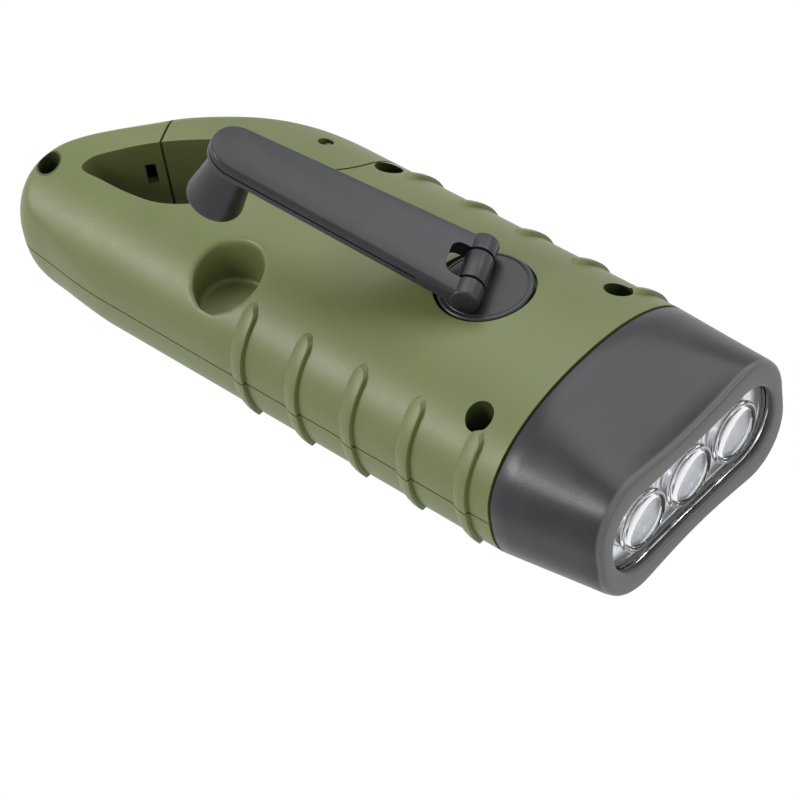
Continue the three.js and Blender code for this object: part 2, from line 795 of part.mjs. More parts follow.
function dynamoCan() {
  const { x, y } = trainRotor;
  const inner = dynamo.canRadius - dynamo.canWall;
  return cut(
    post(x, y, dynamo.canRadius, dynamo.bottom, canTop, round.medium),
    post(x, y, inner, dynamo.bottom + dynamo.canWall, canTop + overrun, round.medium),
    post(x, y, dynamo.shaftBore, dynamo.bottom - overrun, dynamo.bottom + overrun),
  );
}

function dynamoCoil() {
  const { x, y } = trainRotor;
  const outer = dynamo.canRadius - dynamo.canWall - dynamo.coilGap;
  const top = canTop - clearance;
  return cut(
    post(x, y, outer, magnetBottom, top, round.medium),
    post(x, y, dynamo.coilInner, magnetBottom - overrun, top + overrun, round.medium),
  );
}

const rotorTop = twoWheelTop + train.webGap;

function rotor() {
  return join(
    post(trainRotor.x, trainRotor.y, dynamo.shaftRadius, dynamo.bottom + clearance, rotorTop),
    gearWheel(trainRotor, train.rotorTeeth, trainRotor.turn, twoWheelBottom - train.webGap, rotorTop),
  );
}

function rotorMagnet() {
  const { x, y } = trainRotor;
  const top = magnetBottom + dynamo.magnetHeight;
  return cut(
    post(x, y, dynamo.magnetRadius, magnetBottom, top, round.medium),
    post(x, y, dynamo.shaftBore, magnetBottom - overrun, top + overrun),
  );
}

// Crank: the hub stands in a group at its own axis, turned so that its +X runs along the arm

function squarePrism(side, low, high) {
  return box(-side / 2, side / 2, -side / 2, side / 2, low, high);
}

// A cylinder along Y.
function barrel(radius, y0, y1, x = 0, z = 0, sides = round.small) {
  const geometry = new THREE.CylinderGeometry(radius, radius, y1 - y0, sides);
  return solid(geometry.translate(x, (y0 + y1) / 2, z));
}

function crankHub() {
  const top = crank.discTop;
  const half = crank.knuckleWidth / 2;
  const body = join(
    post(0, 0, crank.discRadius, top - crank.discThick, top, round.large),
    post(0, 0, crank.shaftRadius, crank.shaftBottom, top - crank.discThick + weld, round.medium),
    squarePrism(crank.squareSide, crank.squareBottom, crank.shaftBottom + weld),
    barrel(crank.barrelRadius, -half, half, crank.hingeX, hingeZ),
    box(crank.hingeX - crank.webBack, crank.hingeX + crank.barrelRadius, -half, half, top - weld, hingeZ),
  );
  return cut(
    body,
    barrel(hingePin.radius + clearance, -half - overrun, half + overrun, crank.hingeX, hingeZ),
    post(0, 0, crank.boreRadius, crank.squareBottom - overrun, crank.boreTop),
  );
}

function hubGear() {
  const outline = gearWheel({ x: 0, y: 0 }, train.hubTeeth, -crankAngle, train.hubBottom, hubGearTop);
  const side = crank.squareSide + 2 * clearance;
  return cut(outline, squarePrism(side, train.hubBottom - overrun, hubGearTop + overrun));
}

function hingePinBody() {
  const { radius, halfLength } = hingePin;
  return barrel(radius, -halfLength, halfLength, crank.hingeX, hingeZ);
}

function hubScrew() {
  const headTop = crank.squareBottom - clearance;
  return join(
    post(0, 0, train.boltHeadRadius, headTop - train.boltHeadThick, headTop, round.medium),
    post(0, 0, train.boltRadius, headTop - weld, crank.boreTop - clearance),
  );
}

// Arm: its group stands at the hinge axis, so the plate runs out along +X

// Half the arm's width at a distance from the hinge axis.
function armHalf(x) {
  return THREE.MathUtils.lerp(arm.rootHalf, arm.tipHalf, x / (arm.length - arm.tipHalf));
}

function armOutline(grow = 0) {
  const end = arm.length - arm.tipHalf;
  const points = [[0, -armHalf(0) - grow]];
  for (let i = 0; i <= round.small; i++) {
    const angle = -Math.PI / 2 + (Math.PI * i) / round.small;
    points.push([end + (arm.tipHalf + grow) * Math.cos(angle), (arm.tipHalf + grow) * Math.sin(angle)]);
  }
  points.push([0, armHalf(0) + grow]);
  return points;
}

function crankArm() {
  const shape = join(
    prism(armOutline(-arm.edge), -arm.below, arm.above),
    prism(armOutline(), -arm.below, arm.above - arm.edge),
    barrel(crank.barrelRadius, -arm.rootHalf, arm.rootHalf),
  );
  const slot = prism(
    [
      [-crank.barrelRadius - overrun, -arm.slotHalf], [arm.slotLength - arm.slotHalf / 2, -arm.slotHalf],
      [arm.slotLength, -arm.slotHalf / 2], [arm.slotLength, arm.slotHalf / 2],
      [arm.slotLength - arm.slotHalf / 2, arm.slotHalf], [-crank.barrelRadius - overrun, arm.slotHalf],
    ],
    -crank.barrelRadius - overrun, crank.barrelRadius + overrun,
  );
  const headRoom = knob.rivetHeadThick + clearance - arm.below;
  const headRadius = knob.rivetHeadRadius + clearance;
  return cut(
    shape, slot,
    barrel(hingePin.radius + clearance, -arm.rootHalf - overrun, arm.rootHalf + overrun),
    post(knobX, 0, knob.rivetRadius + clearance, -arm.below - overrun, arm.above + overrun),
    post(knobX, 0, headRadius, -arm.below - overrun, headRoom, round.medium),
  );
}

// The knob hangs below the plate at the knob's axis, with a counterbore for the rivet's head.
const knobTop = -arm.below - clearance;
const knobEnd = knobTop - knob.length;

function knobBody() {
  const bore = knob.rivetRadius + clearance;
  const headRoom = knob.rivetHeadRadius + clearance;
  const profile = [
    [bore, knobTop], [bore, knobEnd + knob.counterbore], [headRoom, knobEnd + knob.counterbore],
    [headRoom, knobEnd], [knob.endRadius - knob.edge, knobEnd],
    [knob.endRadius, knobEnd + knob.edge], [knob.neckRadius + knob.edge / 2, knobEnd + knob.length / 2],
    [knob.neckRadius, knobTop - knob.edge], [knob.neckRadius, knobTop], [bore, knobTop],
  ];
  return solid(turned(profile).translate(knobX, 0, 0));
}

function knobRivet() {
  const headBottom = knobEnd + knob.counterbore - clearance - knob.rivetHeadThick;
  return join(
    post(knobX, 0, knob.rivetHeadRadius, headBottom, headBottom + knob.rivetHeadThick),
    post(knobX, 0, knob.rivetRadius, headBottom + weld, -arm.below + clearance / 2),
    post(knobX, 0, knob.rivetHeadRadius, -arm.below, -arm.below + knob.rivetHeadThick),
  );
}

// Gate, its pin and its spring

const gateTopZ = surfaceZ(gate.y);

function gateBody() {
  const zone = prism(gateZone(0), below, above);
  const band = cut(caseForm(0, shellFront), prism(holeOutline, below, above)).intersect(zone);
  const low = partingZ - gate.earLevel;
  const high = partingZ + gate.earLevel;
  const reach = gate.tongueRadius + clearance;
  return cut(
    band,
    post(gate.x, gate.y, reach, low, high, round.medium),
    box(gate.x - clearance, gate.x + hull.halfWidth, -everywhere, everywhere, low, high),
    post(gate.x, gate.y, pinRoom, below, above),
  );
}

function gatePin() {
  return post(gate.x, gate.y, gate.pinRadius, gate.pinBottom, gateTopZ - gate.pinSink);
}

function gateSpringCoil() {
  const points = [];
  const count = gateSpring.curls * gateSpring.steps;
  const bottom = partingZ + gateSpring.floor + gateSpring.wire;
  for (let i = 0; i <= count; i++) {
    const angle = (2 * Math.PI * i) / gateSpring.steps;
    const z = bottom + (i / gateSpring.steps) * gateSpring.pitch;
    const [c, s] = [Math.cos(angle), Math.sin(angle)];
    points.push([gate.x + gateSpring.radius * c, gate.y + gateSpring.radius * s, z]);
  }
  return tube(points, gateSpring.wire / 2, count, gateSpring.sides);
}

// Case screws

function screwBody(at) {
  const seat = screwSeat + clearance;
  const top = seat + caseScrew.headThick;
  const slot = caseScrew.slotWidth / 2;
  const reach = caseScrew.headRadius + overrun;
  return cut(
    join(
      post(at.x, at.y, caseScrew.headRadius, seat, top),
      post(at.x, at.y, caseScrew.shankRadius, screwSeat - caseScrew.shankLength, seat + weld),
    ),
    box(at.x - reach, at.x + reach, at.y - slot, at.y + slot, top - caseScrew.slotDepth, top + overrun),
    box(at.x - slot, at.x + slot, at.y - reach, at.y + reach, top - caseScrew.slotDepth, top + overrun),
  );
}

// Lamp head

// The rim's outline seen from the front, as [y, z] at the same angles as the case's section.
function rimSection(inset = 0) {
  const halfY = bezel.rimHalfWidth - inset;
  const halfZ = bezel.rimHalfHeight - inset;
  const corner = bezel.rimCorner - inset;
  const spread = (v) => Math.sign(v) * Math.abs(v) ** (1 / bezel.facePower);
  const outline = [];
  for (let i = 0; i < sectionSteps; i++) {
    const angle = (2 * Math.PI * (i + 0.5)) / sectionSteps;
    const [u, v] = [spread(Math.cos(angle)), spread(Math.sin(angle))];
    const [y, z] = onRoundedRectangle(halfY, halfZ, corner, u, v);
    outline.push([y, partingZ + z - drawnIn(y / halfY, z / halfZ)]);
  }
  return outline;
}

// The point of a rounded rectangle in the direction (u, v), given in shares of its half sizes.
function onRoundedRectangle(halfX, halfY, corner, u, v) {
  const stretch = 1 / Math.max(Math.abs(u), Math.abs(v));
  let [x, y] = [u * stretch * halfX, v * stretch * halfY];
  const [cx, cy] = [halfX - corner, halfY - corner];
  const [dx, dy] = [Math.abs(x) - cx, Math.abs(y) - cy];
  if (dx > 0 && dy > 0) {
    const reach = Math.hypot(dx, dy);
    x = Math.sign(x) * (cx + (dx / reach) * corner);
    y = Math.sign(y) * (cy + (dy / reach) * corner);
  }
  return [x, y];
}

// The head's outside between the seam and the rim, drawn in by inset, with a rounded front edge.
function headForm(inset, back, front, edge) {
  const from = section(inset);
  const to = rimSection(inset);
  const tight = rimSection(inset + edge);
  const between = THREE.MathUtils.lerp;
  const ring = (x, share, target) =>
    from.map(([y, z], i) => [x, between(y, target[i][0], share), between(z, target[i][1], share)]);
  const share = (x) => (x - seamX) / headLength;
  const rings = [ring(back, share(back), to), ring((back + front) / 2, share((back + front) / 2), to)];
  rings.push(ring(front - edge, share(front - edge), to));
  if (edge) {
    const shoulder = rimSection(inset + edge * (1 - Math.SQRT1_2));
    rings.push(ring(front - edge * (1 - Math.SQRT1_2), share(front), shoulder), ring(front, 1, tight));
  }
  return loft(rings);
}

const headBack = seamX + hull.seamGap / 2;
const lensFront = frontX - bezel.frontThick;

function alongX(points, x0, x1) {
  const shape = new THREE.Shape(points.map(([y, z]) => new THREE.Vector2(y, z + partingZ)));
  const geometry = new THREE.ExtrudeGeometry(shape, { depth: x1 - x0, bevelEnabled: false });
  geometry.rotateZ(Math.PI / 2);
  geometry.rotateY(Math.PI / 2);
  return solid(geometry.translate(x0, 0, 0));
}

// How far the outline of the rim or the mouth draws in, at shares of its half width and height.
function drawnIn(across, up) {
  const waist = bezel.waist * Math.cos((Math.min(1, Math.abs(across)) * Math.PI) / 2) ** 2;
  return Math.sign(up) * waist * Math.min(1, Math.abs(up));
}

function mouth(grow) {
  const half = bezel.mouthHalfWidth + grow;
  const outline = roundedRectangle(half, bezel.mouthHalfHeight + grow, bezel.mouthCorner + grow);
  const steps = round.small;
  const straight = half - bezel.mouthCorner - grow;
  const edge = (side) => Array.from({ length: steps - 1 }, (_, i) => [
    side * straight * (1 - (2 * (i + 1)) / steps), side * (bezel.mouthHalfHeight + grow),
  ]);
  const corner = outline.length / 4;
  const full = [
    ...outline.slice(0, corner), ...edge(1), ...outline.slice(corner, 3 * corner),
    ...edge(-1), ...outline.slice(3 * corner),
  ];
  return full.map(([y, z]) => [y, z - drawnIn(y / half, z / bezel.mouthHalfHeight)]);
}

function headBezel() {
  const shell = cut(
    headForm(0, headBack, frontX, bezel.edge),
    headForm(bezel.wall, headBack - overrun, lensFront, 0),
    alongX(mouth(0), lensFront - overrun, frontX + overrun),
  );
  const spigotOuter = hull.wall + clearance;
  const spigotX = headBack - bezel.spigotLength;
  const middleX = (headBack + seamX + headLength / 2) / 2;
  const withinHead = join(
    headForm(bezel.wall / 2, headBack, frontX - bezel.edge, 0),
    box(spigotX, headBack + weld, -everywhere, everywhere, below, above),
  );
  const spigot = cut(
    caseForm(spigotOuter, middleX),
    caseForm(spigotOuter + bezel.spigotWall, middleX + overrun),
    box(-everywhere, spigotX, -everywhere, everywhere, below, above),
  ).intersect(withinHead);
  const lugBack = headScrew.x - bezel.lugBack;
  const lugZ = partingZ + clearance;
  const lugs = [-1, 1].map((side) => {
    const low = Math.min(side * bezel.lugInner, side * hull.halfWidth);
    const high = Math.max(side * bezel.lugInner, side * hull.halfWidth);
    const bar = box(lugBack, headBack + overrun, low, high, lugZ, lugTop - clearance);
    return bar.intersect(caseForm(spigotOuter, middleX));
  });
  const holes = [-1, 1].map((side) =>
    post(headScrew.x, side * headScrew.y, caseScrew.shankRadius + clearance, below, above),
  );
  return cut(join(shell, spigot, ...lugs), ...holes);
}

const lampPlaces = [-1, 0, 1].map((k) => k * lamp.pitch);

// The lens: a plate behind the mouth's rim, with a dome before each lamp.
const lensFace = lensFront - clearance;
function lensBody() {
  const margin = lens.margin;
  const plateBody = alongX(mouth(margin), lensFace - lens.thick, lensFace);
  const radius = (lens.domeRadius ** 2 + lens.domeRise ** 2) / (2 * lens.domeRise);
  const profile = [[0, -lens.thick / 2], [lens.domeRadius, -lens.thick / 2], [lens.domeRadius, 0]];
  for (let i = 1; i <= round.small / 3; i++) {
    const r = lens.domeRadius * (1 - i / (round.small / 3));
    profile.push([r, Math.sqrt(radius ** 2 - r ** 2) - (radius - lens.domeRise)]);
  }
  return join(plateBody, ...lampPlaces.map((y) => alongLamp(profile, lensFace, y)));
}

// A profile of [radius, distance] turned about a line along X through a lamp's place.
function alongLamp(profile, x, y) {
  return solid(turned(profile).rotateY(Math.PI / 2).translate(x, y, partingZ));
}

const cupFrontX = lensFace - lens.thick - clearance;
const cupBackX = cupFrontX - lamp.cupLength;

function reflectorBody() {
  const { cupFront, cupBack, cupLength, shellThick } = lamp;
  const bowl = (grow) => {
    const profile = [[0, 0]];
    for (let i = 0; i <= round.small / 3; i++) {
      const share = i / (round.small / 3);
      profile.push([grow + cupBack + (cupFront - cupBack) * Math.sqrt(share), share * cupLength]);
    }
    return profile;
  };
  const flange = alongX(mouth(-lens.margin), cupFrontX - shellThick, cupFrontX);
  const outer = [...bowl(shellThick), [0, cupLength]];
  const inner = [...bowl(0), [cupFront, cupLength + overrun], [0, cupLength + overrun]];
  const throat = [[0, -overrun], [cupBack, -overrun], [cupBack, overrun], [0, overrun]];
  const atLamps = (profile) => lampPlaces.map((y) => alongLamp(profile, cupBackX, y));
  return cut(join(flange, ...atLamps(outer)), ...atLamps(inner), ...atLamps(throat));
}

const ledBoardFront = cupBackX - clearance;
function ledBody(y) {
  const tip = led.flangeThick + led.length;
  const flange = Math.min(led.flangeRadius, lamp.cupBack - clearance);
  const profile = [[0, 0], [flange, 0], [flange, led.flangeThick], [led.radius, led.flangeThick]];
  for (let i = 0; i <= round.small / 4; i++) {
    const angle = (Math.PI / 2) * (i / (round.small / 4));
    const [c, s] = [Math.cos(angle), Math.sin(angle)];
    profile.push([led.radius * c, tip - led.radius + led.radius * s]);
  }
  return alongLamp(profile, ledBoardFront + clearance, y);
}

function ledBoardBody() {
  const outline = roundedRectangle(ledBoard.halfWidth, ledBoard.halfHeight, ledBoard.thick);
  return alongX(outline, ledBoardFront - ledBoard.thick, ledBoardFront);
}

// Electrics on the main board

function mainBoard() {
  return box(board.x0, board.x1, -board.halfWidth, board.halfWidth, board.bottom, boardTop);
}

function controllerChip() {
  const half = chip.side / 2;
  const low = boardTop + clearance;
  return box(chip.x - half, chip.x + half, chip.y - half, chip.y + half, low, low + chip.thick);
}

function storageCapacitor() {
  const low = boardTop + clearance;
  return post(capacitor.x, capacitor.y, capacitor.radius, low, low + capacitor.height);
}

// Two coin cells in one sleeve.
function batteryPack() {
  const low = boardTop + clearance;
  const waist = clearance;
  const middle = low + cell.height / 2;
  return solid(turned([
    [0, low], [cell.radius, low], [cell.radius, middle - waist], [cell.radius - waist, middle],
    [cell.radius, middle + waist], [cell.radius, low + cell.height], [0, low + cell.height],
  ]).translate(cell.x, cell.y, 0));
}

// The switch hangs from a tongue of the board over the button.
const buttonTop = button.sink + hull.wall + clearance + button.flangeThick; // when pressed in
const switchLow = buttonTop + button.stemLength + 2 * clearance;
function switchBodyForm() {
  const half = switchBody.side / 2;
  const top = board.bottom - clearance;
  return join(
    box(button.x - half, button.x + half, -half, half, switchLow, top),
    box(board.x1 - switchBody.tongue, button.x, -half / 2, half / 2, top - switchBody.height / 2, top),
  );
}

function switchButton() {
  const flangeLow = hull.wall + clearance;
  const flangeHigh = flangeLow + button.flangeThick;
  const stemTop = flangeHigh + button.stemLength;
  const profile = [
    [0, button.sink], [button.radius, button.sink], [button.radius, flangeLow],
    [button.flangeRadius, flangeLow], [button.flangeRadius, flangeHigh],
    [button.stemRadius, flangeHigh], [button.stemRadius, stemTop], [0, stemTop],
  ];
  return solid(turned(profile).translate(button.x, 0, 0));
}

function solarPanel() {
  const { x, halfLength, halfWidth, thick } = panel;
  return box(x - halfLength, x + halfLength, -halfWidth, halfWidth, panelBottom, panelBottom + thick);
}

function solarWindow() {
  const { x, halfLength, halfWidth, sink } = panel;
  return box(x - halfLength, x + halfLength, -halfWidth, halfWidth, sink, windowTop);
}

function leadTube(points) {
  return tube(points, lead.radius, lead.steps, lead.sides);
}

// Leads, each from one terminal to the next, as points along its middle

const terminal = clearance + lead.radius / 2;
const boardMiddle = board.bottom + board.thick / 2;
const solarLeadPoints = [
  [panelLeadX, 0, panelBottom + panel.thick + clearance],
  [panelLeadX, 0, panelFloor + hull.wall + lead.radius],
  [board.x0 + board.postInset, 0, board.bottom - board.thick - terminal],
  [board.x0 + board.postInset, 0, board.bottom - clearance],
];
const dynamoSide = trainRotor.x + dynamo.canRadius;
const dynamoLeadPoints = [
  [dynamoSide + clearance, trainRotor.y, boardMiddle + board.thick],
  [dynamoSide + 2 * board.thick, trainRotor.y, boardMiddle + board.thick],
  [board.x0 - 2 * board.thick, trainRotor.y, boardMiddle],
  [board.x0 - clearance, trainRotor.y, boardMiddle],
];
const lampLeadY = button.flangeRadius + lead.radius;
const ledBoardBack = ledBoardFront - ledBoard.thick;
const lampLeadPoints = [
  [board.x1 + clearance, lampLeadY, boardMiddle],
  [button.x, lampLeadY, boardMiddle],
  [ledBoardBack - led.length, lampLeadY, partingZ - led.flangeRadius],
  [ledBoardBack - clearance, lampLeadY, partingZ - led.flangeRadius],
];
const cellSide = cell.y + cell.radius + clearance;
const cellMiddle = boardTop + clearance + cell.height / 4;
const cellLeadPoints = [
  [cell.x, cellSide, cellMiddle + lead.radius],
  [cell.x, cellSide + 2 * lead.radius, cellMiddle],
  [cell.x, cellSide + 3 * lead.radius, boardTop + 2 * terminal],
  [cell.x, cellSide + 3 * lead.radius, boardTop + clearance],
];

// The assembly

const flashlight = new THREE.Group();
const crankGroup = new THREE.Group();
crankGroup.position.set(crank.x, crank.y, 0);
crankGroup.rotation.z = crankAngle;
const armGroup = new THREE.Group();
armGroup.position.set(crank.hingeX, 0, hingeZ);
armGroup.rotation.y = -rad(crank.lift);
crankGroup.add(armGroup);
flashlight.add(crankGroup);

flashlight.add(
  piece("upper_shell", upperShell(), olive),
  piece("lower_shell", lowerShell(), olive),
  piece("head_bezel", headBezel(), charcoal),
  piece("lens", lensBody(), clear),
  piece("reflector", reflectorBody(), silver),
  piece("led_board", ledBoardBody(), boardGreen),
  piece("gate", gateBody(), olive),
  piece("gate_pin", gatePin(), steel),
  piece("gate_spring", gateSpringCoil(), steel),
  piece("gear_plate", gearPlate(), charcoal),
  piece("gear_one", gearOne(), nylon),
  piece("gear_one_pin", gearPin(trainOne, oneWheelBottom, oneTop + clearance), steel),
  piece("gear_two", gearTwo(), nylon),
  piece("gear_two_pin", gearPin(trainTwo, twoWheelBottom, twoTop + clearance), steel),
  piece("rotor", rotor(), nylon),
  piece("rotor_magnet", rotorMagnet(), magnetGrey),
  piece("dynamo_can", dynamoCan(), steel),
  piece("dynamo_coil", dynamoCoil(), copper),
  piece("main_board", mainBoard(), boardGreen),
  piece("controller_chip", controllerChip(), blackResin),
  piece("storage_capacitor", storageCapacitor(), blackResin),
  piece("battery_pack", batteryPack(), steel),
  piece("switch_body", switchBodyForm(), blackResin),
  piece("switch_button", switchButton(), charcoal),
  piece("solar_panel", solarPanel(), panelBlue),
  piece("solar_window", solarWindow(), clear),
  piece("solar_lead", leadTube(solarLeadPoints), leadRed),
  piece("dynamo_lead", leadTube(dynamoLeadPoints), leadRed),
  piece("lamp_lead", leadTube(lampLeadPoints), leadRed),
  piece("battery_lead", leadTube(cellLeadPoints), leadRed),
);
["led_right", "led_middle", "led_left"].forEach((name, i) => {
  flashlight.add(piece(name, ledBody(lampPlaces[i]), lampYellow));
});
["tip", "shoulder", "head_far", "head_near"].forEach((place, i) => {
  flashlight.add(piece("case_screw_" + place, screwBody(screwPlaces[i]), steel));
});
plateScrews.forEach((at, i) => {
  flashlight.add(piece("plate_screw_" + (i + 1), plateScrew(at), steel));
});

crankGroup.add(
  piece("crank_hub", crankHub(), charcoal),
  piece("hub_gear", hubGear(), nylon),
  piece("hub_screw", hubScrew(), steel),
  piece("hinge_pin", hingePinBody(), steel),
);
armGroup.add(
  piece("crank_arm", crankArm(), charcoal),
  piece("knob", knobBody(), charcoal),
  piece("knob_rivet", knobRivet(), steel),
);

export default flashlight;
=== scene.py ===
"""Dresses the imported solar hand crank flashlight: its moulded case, lamp head, crank and loop gate.

The outlines are worked out in millimetres, as they are drawn, and each finished piece is brought
down to metres when it settles on its body.
"""

import json
import math

import bmesh
import bpy
import numpy as np
from bpy.props import FloatProperty, FloatVectorProperty, IntProperty, PointerProperty
from mathutils import Matrix, Vector


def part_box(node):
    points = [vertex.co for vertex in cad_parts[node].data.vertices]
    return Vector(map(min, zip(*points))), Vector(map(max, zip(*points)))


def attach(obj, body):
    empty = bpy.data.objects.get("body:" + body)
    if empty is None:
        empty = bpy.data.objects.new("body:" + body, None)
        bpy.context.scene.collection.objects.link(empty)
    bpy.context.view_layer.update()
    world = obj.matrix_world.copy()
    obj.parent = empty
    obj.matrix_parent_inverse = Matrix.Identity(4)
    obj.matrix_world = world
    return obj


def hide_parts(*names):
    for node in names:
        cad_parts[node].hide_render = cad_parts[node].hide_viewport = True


bl_info = {
    "name": "Solar hand crank flashlight",
    "version": (1, 0, 0),
    "blender": (4, 5, 0),
    "location": "3D View > Sidebar > Flashlight",
    "description": "Builds the visible pieces of a dynamo torch around its packed solids",
    "category": "Object",
}

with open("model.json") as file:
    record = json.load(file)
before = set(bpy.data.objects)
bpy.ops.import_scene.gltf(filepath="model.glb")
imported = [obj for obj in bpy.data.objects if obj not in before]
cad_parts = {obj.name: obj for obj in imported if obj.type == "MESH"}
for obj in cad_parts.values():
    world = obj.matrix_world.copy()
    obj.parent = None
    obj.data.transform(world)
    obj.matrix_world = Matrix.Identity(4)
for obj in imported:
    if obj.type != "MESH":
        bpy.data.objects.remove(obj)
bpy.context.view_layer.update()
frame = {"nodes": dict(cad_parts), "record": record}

# The torch, in millimetres. The tail, seam and mouth are shaped closer than the solids have them.
HALF_WIDTH = 23.7
TOP_RISE = 14.4
BOTTOM_DROP = 15.6
TOP_POWER = 2.16
BOTTOM_POWER = 2.8
PARTING = 14.5
SHELL_SEAM = 13.4
REAR = -62.85
TAIL = -7.85
SEAM = 43.25
FRONT = 62.85
TAIL_LENGTH = 55.0
WALL = 1.8
GAP = 0.3
SPAN = 130.0
PLAN_SHARES = [
    (0.602, -0.998), (0.797, -0.955), (0.935, -0.9), (0.994, -0.755), (1, -0.57), (0.971, -0.415),
    (0.905, -0.185), (0.822, 0.07), (0.743, 0.302), (0.569, 0.636), (0.4345, 0.815), (0.311, 0.92),
    (0.154, 0.99),
]
SHOULDER_DRAW, KEEL_DRAW = 0.4, 0.95
KEEL_FOOT = 0.929
HOLE_SHARES = [
    (0.791, -0.523), (0.696, -0.532), (0.587, -0.522), (0.487, -0.484), (0.396, -0.384),
    (0.322, -0.224), (0.272, -0.01), (0.265, 0.169), (0.307, 0.308), (0.378, 0.333), (0.46, 0.236),
    (0.56, 0.076), (0.651, -0.101), (0.733, -0.295), (0.787, -0.439),
]
RIB_COUNT, RIB_FIRST, RIB_PITCH = 5, -6.7, 11.45
RIB_LENGTH, RIB_TOP, RIB_BOTTOM, RIB_ARCH = 2.7, 24.9, 5.2, 1.35
SCREWS = {
    "case_screw_tip": (-57.4, -14.2), "case_screw_shoulder": (-11.7, 17.3),
    "case_screw_head_far": (36.3, 16.0), "case_screw_head_near": (36.3, -16.0),
}
SCREW_SEAT = 18.5
HOLE_SHADE_RADIUS = 2.22
PIVOT = (-23.5, 15.4)
HEEL = 9.2
GATE_CUT = (-44.7, 1.4, math.radians(116))
EAR = 5.3
TONGUE_RADIUS, TONGUE_HALF = 6.0, 4.4
HUB = (21.35, 2.97)
DISC_TOP = 28.7
CRANK_TURN = math.radians(206.5)
CRANK_LIFT = math.radians(30)
HINGE_ALONG, HINGE_Z = 1.3, 31.1
KNOB_ALONG = 39.4
POCKET_FLOOR = 19.0
LAMPS = (-10.7, 0.0, 10.7)
LENS_FACE = 61.55
MOUTH_WAIST = 0.3
HEAD_RIM = (21.5, 11.8, 9.6)
MOUTH = (18.7, 7.1, 6.7)
CUP_FRONT, CUP_LENGTH = LENS_FACE - 2.1, 10.0
POCKET_RADIUS, POCKET_REACH = 5.2, 1.3
ARM_ROOT, ARM_TIP = 6.6, 4.6
BUTTON_ALONG = 34.2
PANEL_ROOM = ((-12.3, 14.3), (-11.3, 11.3), (-2, 2.5))
THROUGH, FAR_THROUGH = (-5, 40), (-6, 41)


class CaseSizes(bpy.types.PropertyGroup):
    voxel: FloatProperty(
        name="Skin mesh", description="Size of the faces of the moulded skin",
        default=0.0003, min=0.0002, max=0.001, unit="LENGTH", precision=5,
    )
    edge_passes: IntProperty(
        name="Edge rounding", description="Smoothing passes over the loop, pocket and outline",
        default=32, min=0, max=60,
    )
    rib_height: FloatProperty(
        name="Rib height", description="How far a grip rib stands proud at its head end",
        default=0.00066, min=0.0, max=0.0012, unit="LENGTH", precision=5,
    )


class HeadSizes(bpy.types.PropertyGroup):
    rim_edge: FloatProperty(
        name="Rim rounding", description="Radius of the lamp head's front edge",
        default=0.001, min=0.0003, max=0.003, unit="LENGTH", precision=5,
    )
    lip: FloatProperty(
        name="Mouth rounding", description="Radius of the edge round the lens",
        default=0.0005, min=0.0002, max=0.002, unit="LENGTH", precision=5,
    )
    waist: FloatProperty(
        name="Waist", description="How far the rim draws in at its middle",
        default=0.0015, min=0.0, max=0.003, unit="LENGTH", precision=5,
    )


class CrankSizes(bpy.types.PropertyGroup):
    plate_edge: FloatProperty(
        name="Arm edge", description="Rounding of the arm's upper edge",
        default=0.0005, min=0.0001, max=0.001, unit="LENGTH", precision=5,
    )
    knob_end: FloatProperty(
        name="Knob end", description="Radius of the knob at its free end",
        default=0.0046, min=0.004, max=0.0047, unit="LENGTH", precision=5,
    )
    knob_neck: FloatProperty(
        name="Knob neck", description="Radius of the knob under the arm",
        default=0.0036, min=0.003, max=0.004, unit="LENGTH", precision=5,
    )


def colour(label, about, value):
    return FloatVectorProperty(
        name=label, description=about, default=value, min=0.0, max=1.0, size=3, subtype="COLOR",
    )


class Finishes(bpy.types.PropertyGroup):
    olive: colour("Olive plastic", "Body colour of the case", (0.132, 0.163, 0.050))
    charcoal: colour("Charcoal plastic", "Head and crank colour", (0.012, 0.0135, 0.0165))
    silver: colour("Reflector", "Vacuum-metallised cups", (0.86, 0.87, 0.89))
    cells: colour("Solar cells", "Dark cells under the window", (0.012, 0.018, 0.055))


class StudioSizes(bpy.types.PropertyGroup):
    floor: FloatProperty(
        name="Floor", description="Side of the floor", default=3.0, min=1.0, max=10.0,
        unit="LENGTH",
    )
    lens: FloatProperty(
        name="Lens", description="Focal length of the camera in millimetres", default=144.0,
        min=50.0, max=300.0,
    )


# Outlines


def quarter(count):
    """The angles of a quarter turn, in count steps."""
    return np.linspace(0, math.pi / 2, count)


def smooth_line(points, count, closed=False):
    """A centripetal Catmull-Rom line through points, at count steps."""
    points = [np.array(p, float) for p in points]
    if closed:
        points = [points[-1], *points, points[0], points[1]]
    else:
        points = [2 * points[0] - points[1], *points, 2 * points[-1] - points[-2]]
    spans = len(points) - 3
    line = []
    for step in np.linspace(0, spans, count, endpoint=not closed):
        i = min(int(step), spans - 1)
        p = points[i:i + 4]
        t = np.cumsum([0.0] + [np.linalg.norm(p[k + 1] - p[k]) ** 0.5 for k in range(3)])
        u = t[1] + (step - i) * (t[2] - t[1])
        a = [p[k] + (p[k + 1] - p[k]) * (u - t[k]) / (t[k + 1] - t[k]) for k in range(3)]
        b = [a[k] + (a[k + 1] - a[k]) * (u - t[k]) / (t[k + 2] - t[k]) for k in range(2)]
        line.append(b[0] + (b[1] - b[0]) * (u - t[1]) / (t[2] - t[1]))
    return np.array(line)


def moved_out(outline, distance):
    """A closed outline moved outwards, or inwards where the distance is negative."""
    outline = np.asarray(outline, float)
    after, before = np.roll(outline, -1, 0), np.roll(outline, 1, 0)
    area = np.sum(outline[:, 0] * after[:, 1] - outline[:, 1] * after[:, 0])
    run = after - before
    normal = np.stack([run[:, 1], -run[:, 0]], 1) / np.linalg.norm(run, axis=1)[:, None]
    return outline + normal * distance * math.copysign(1, area)


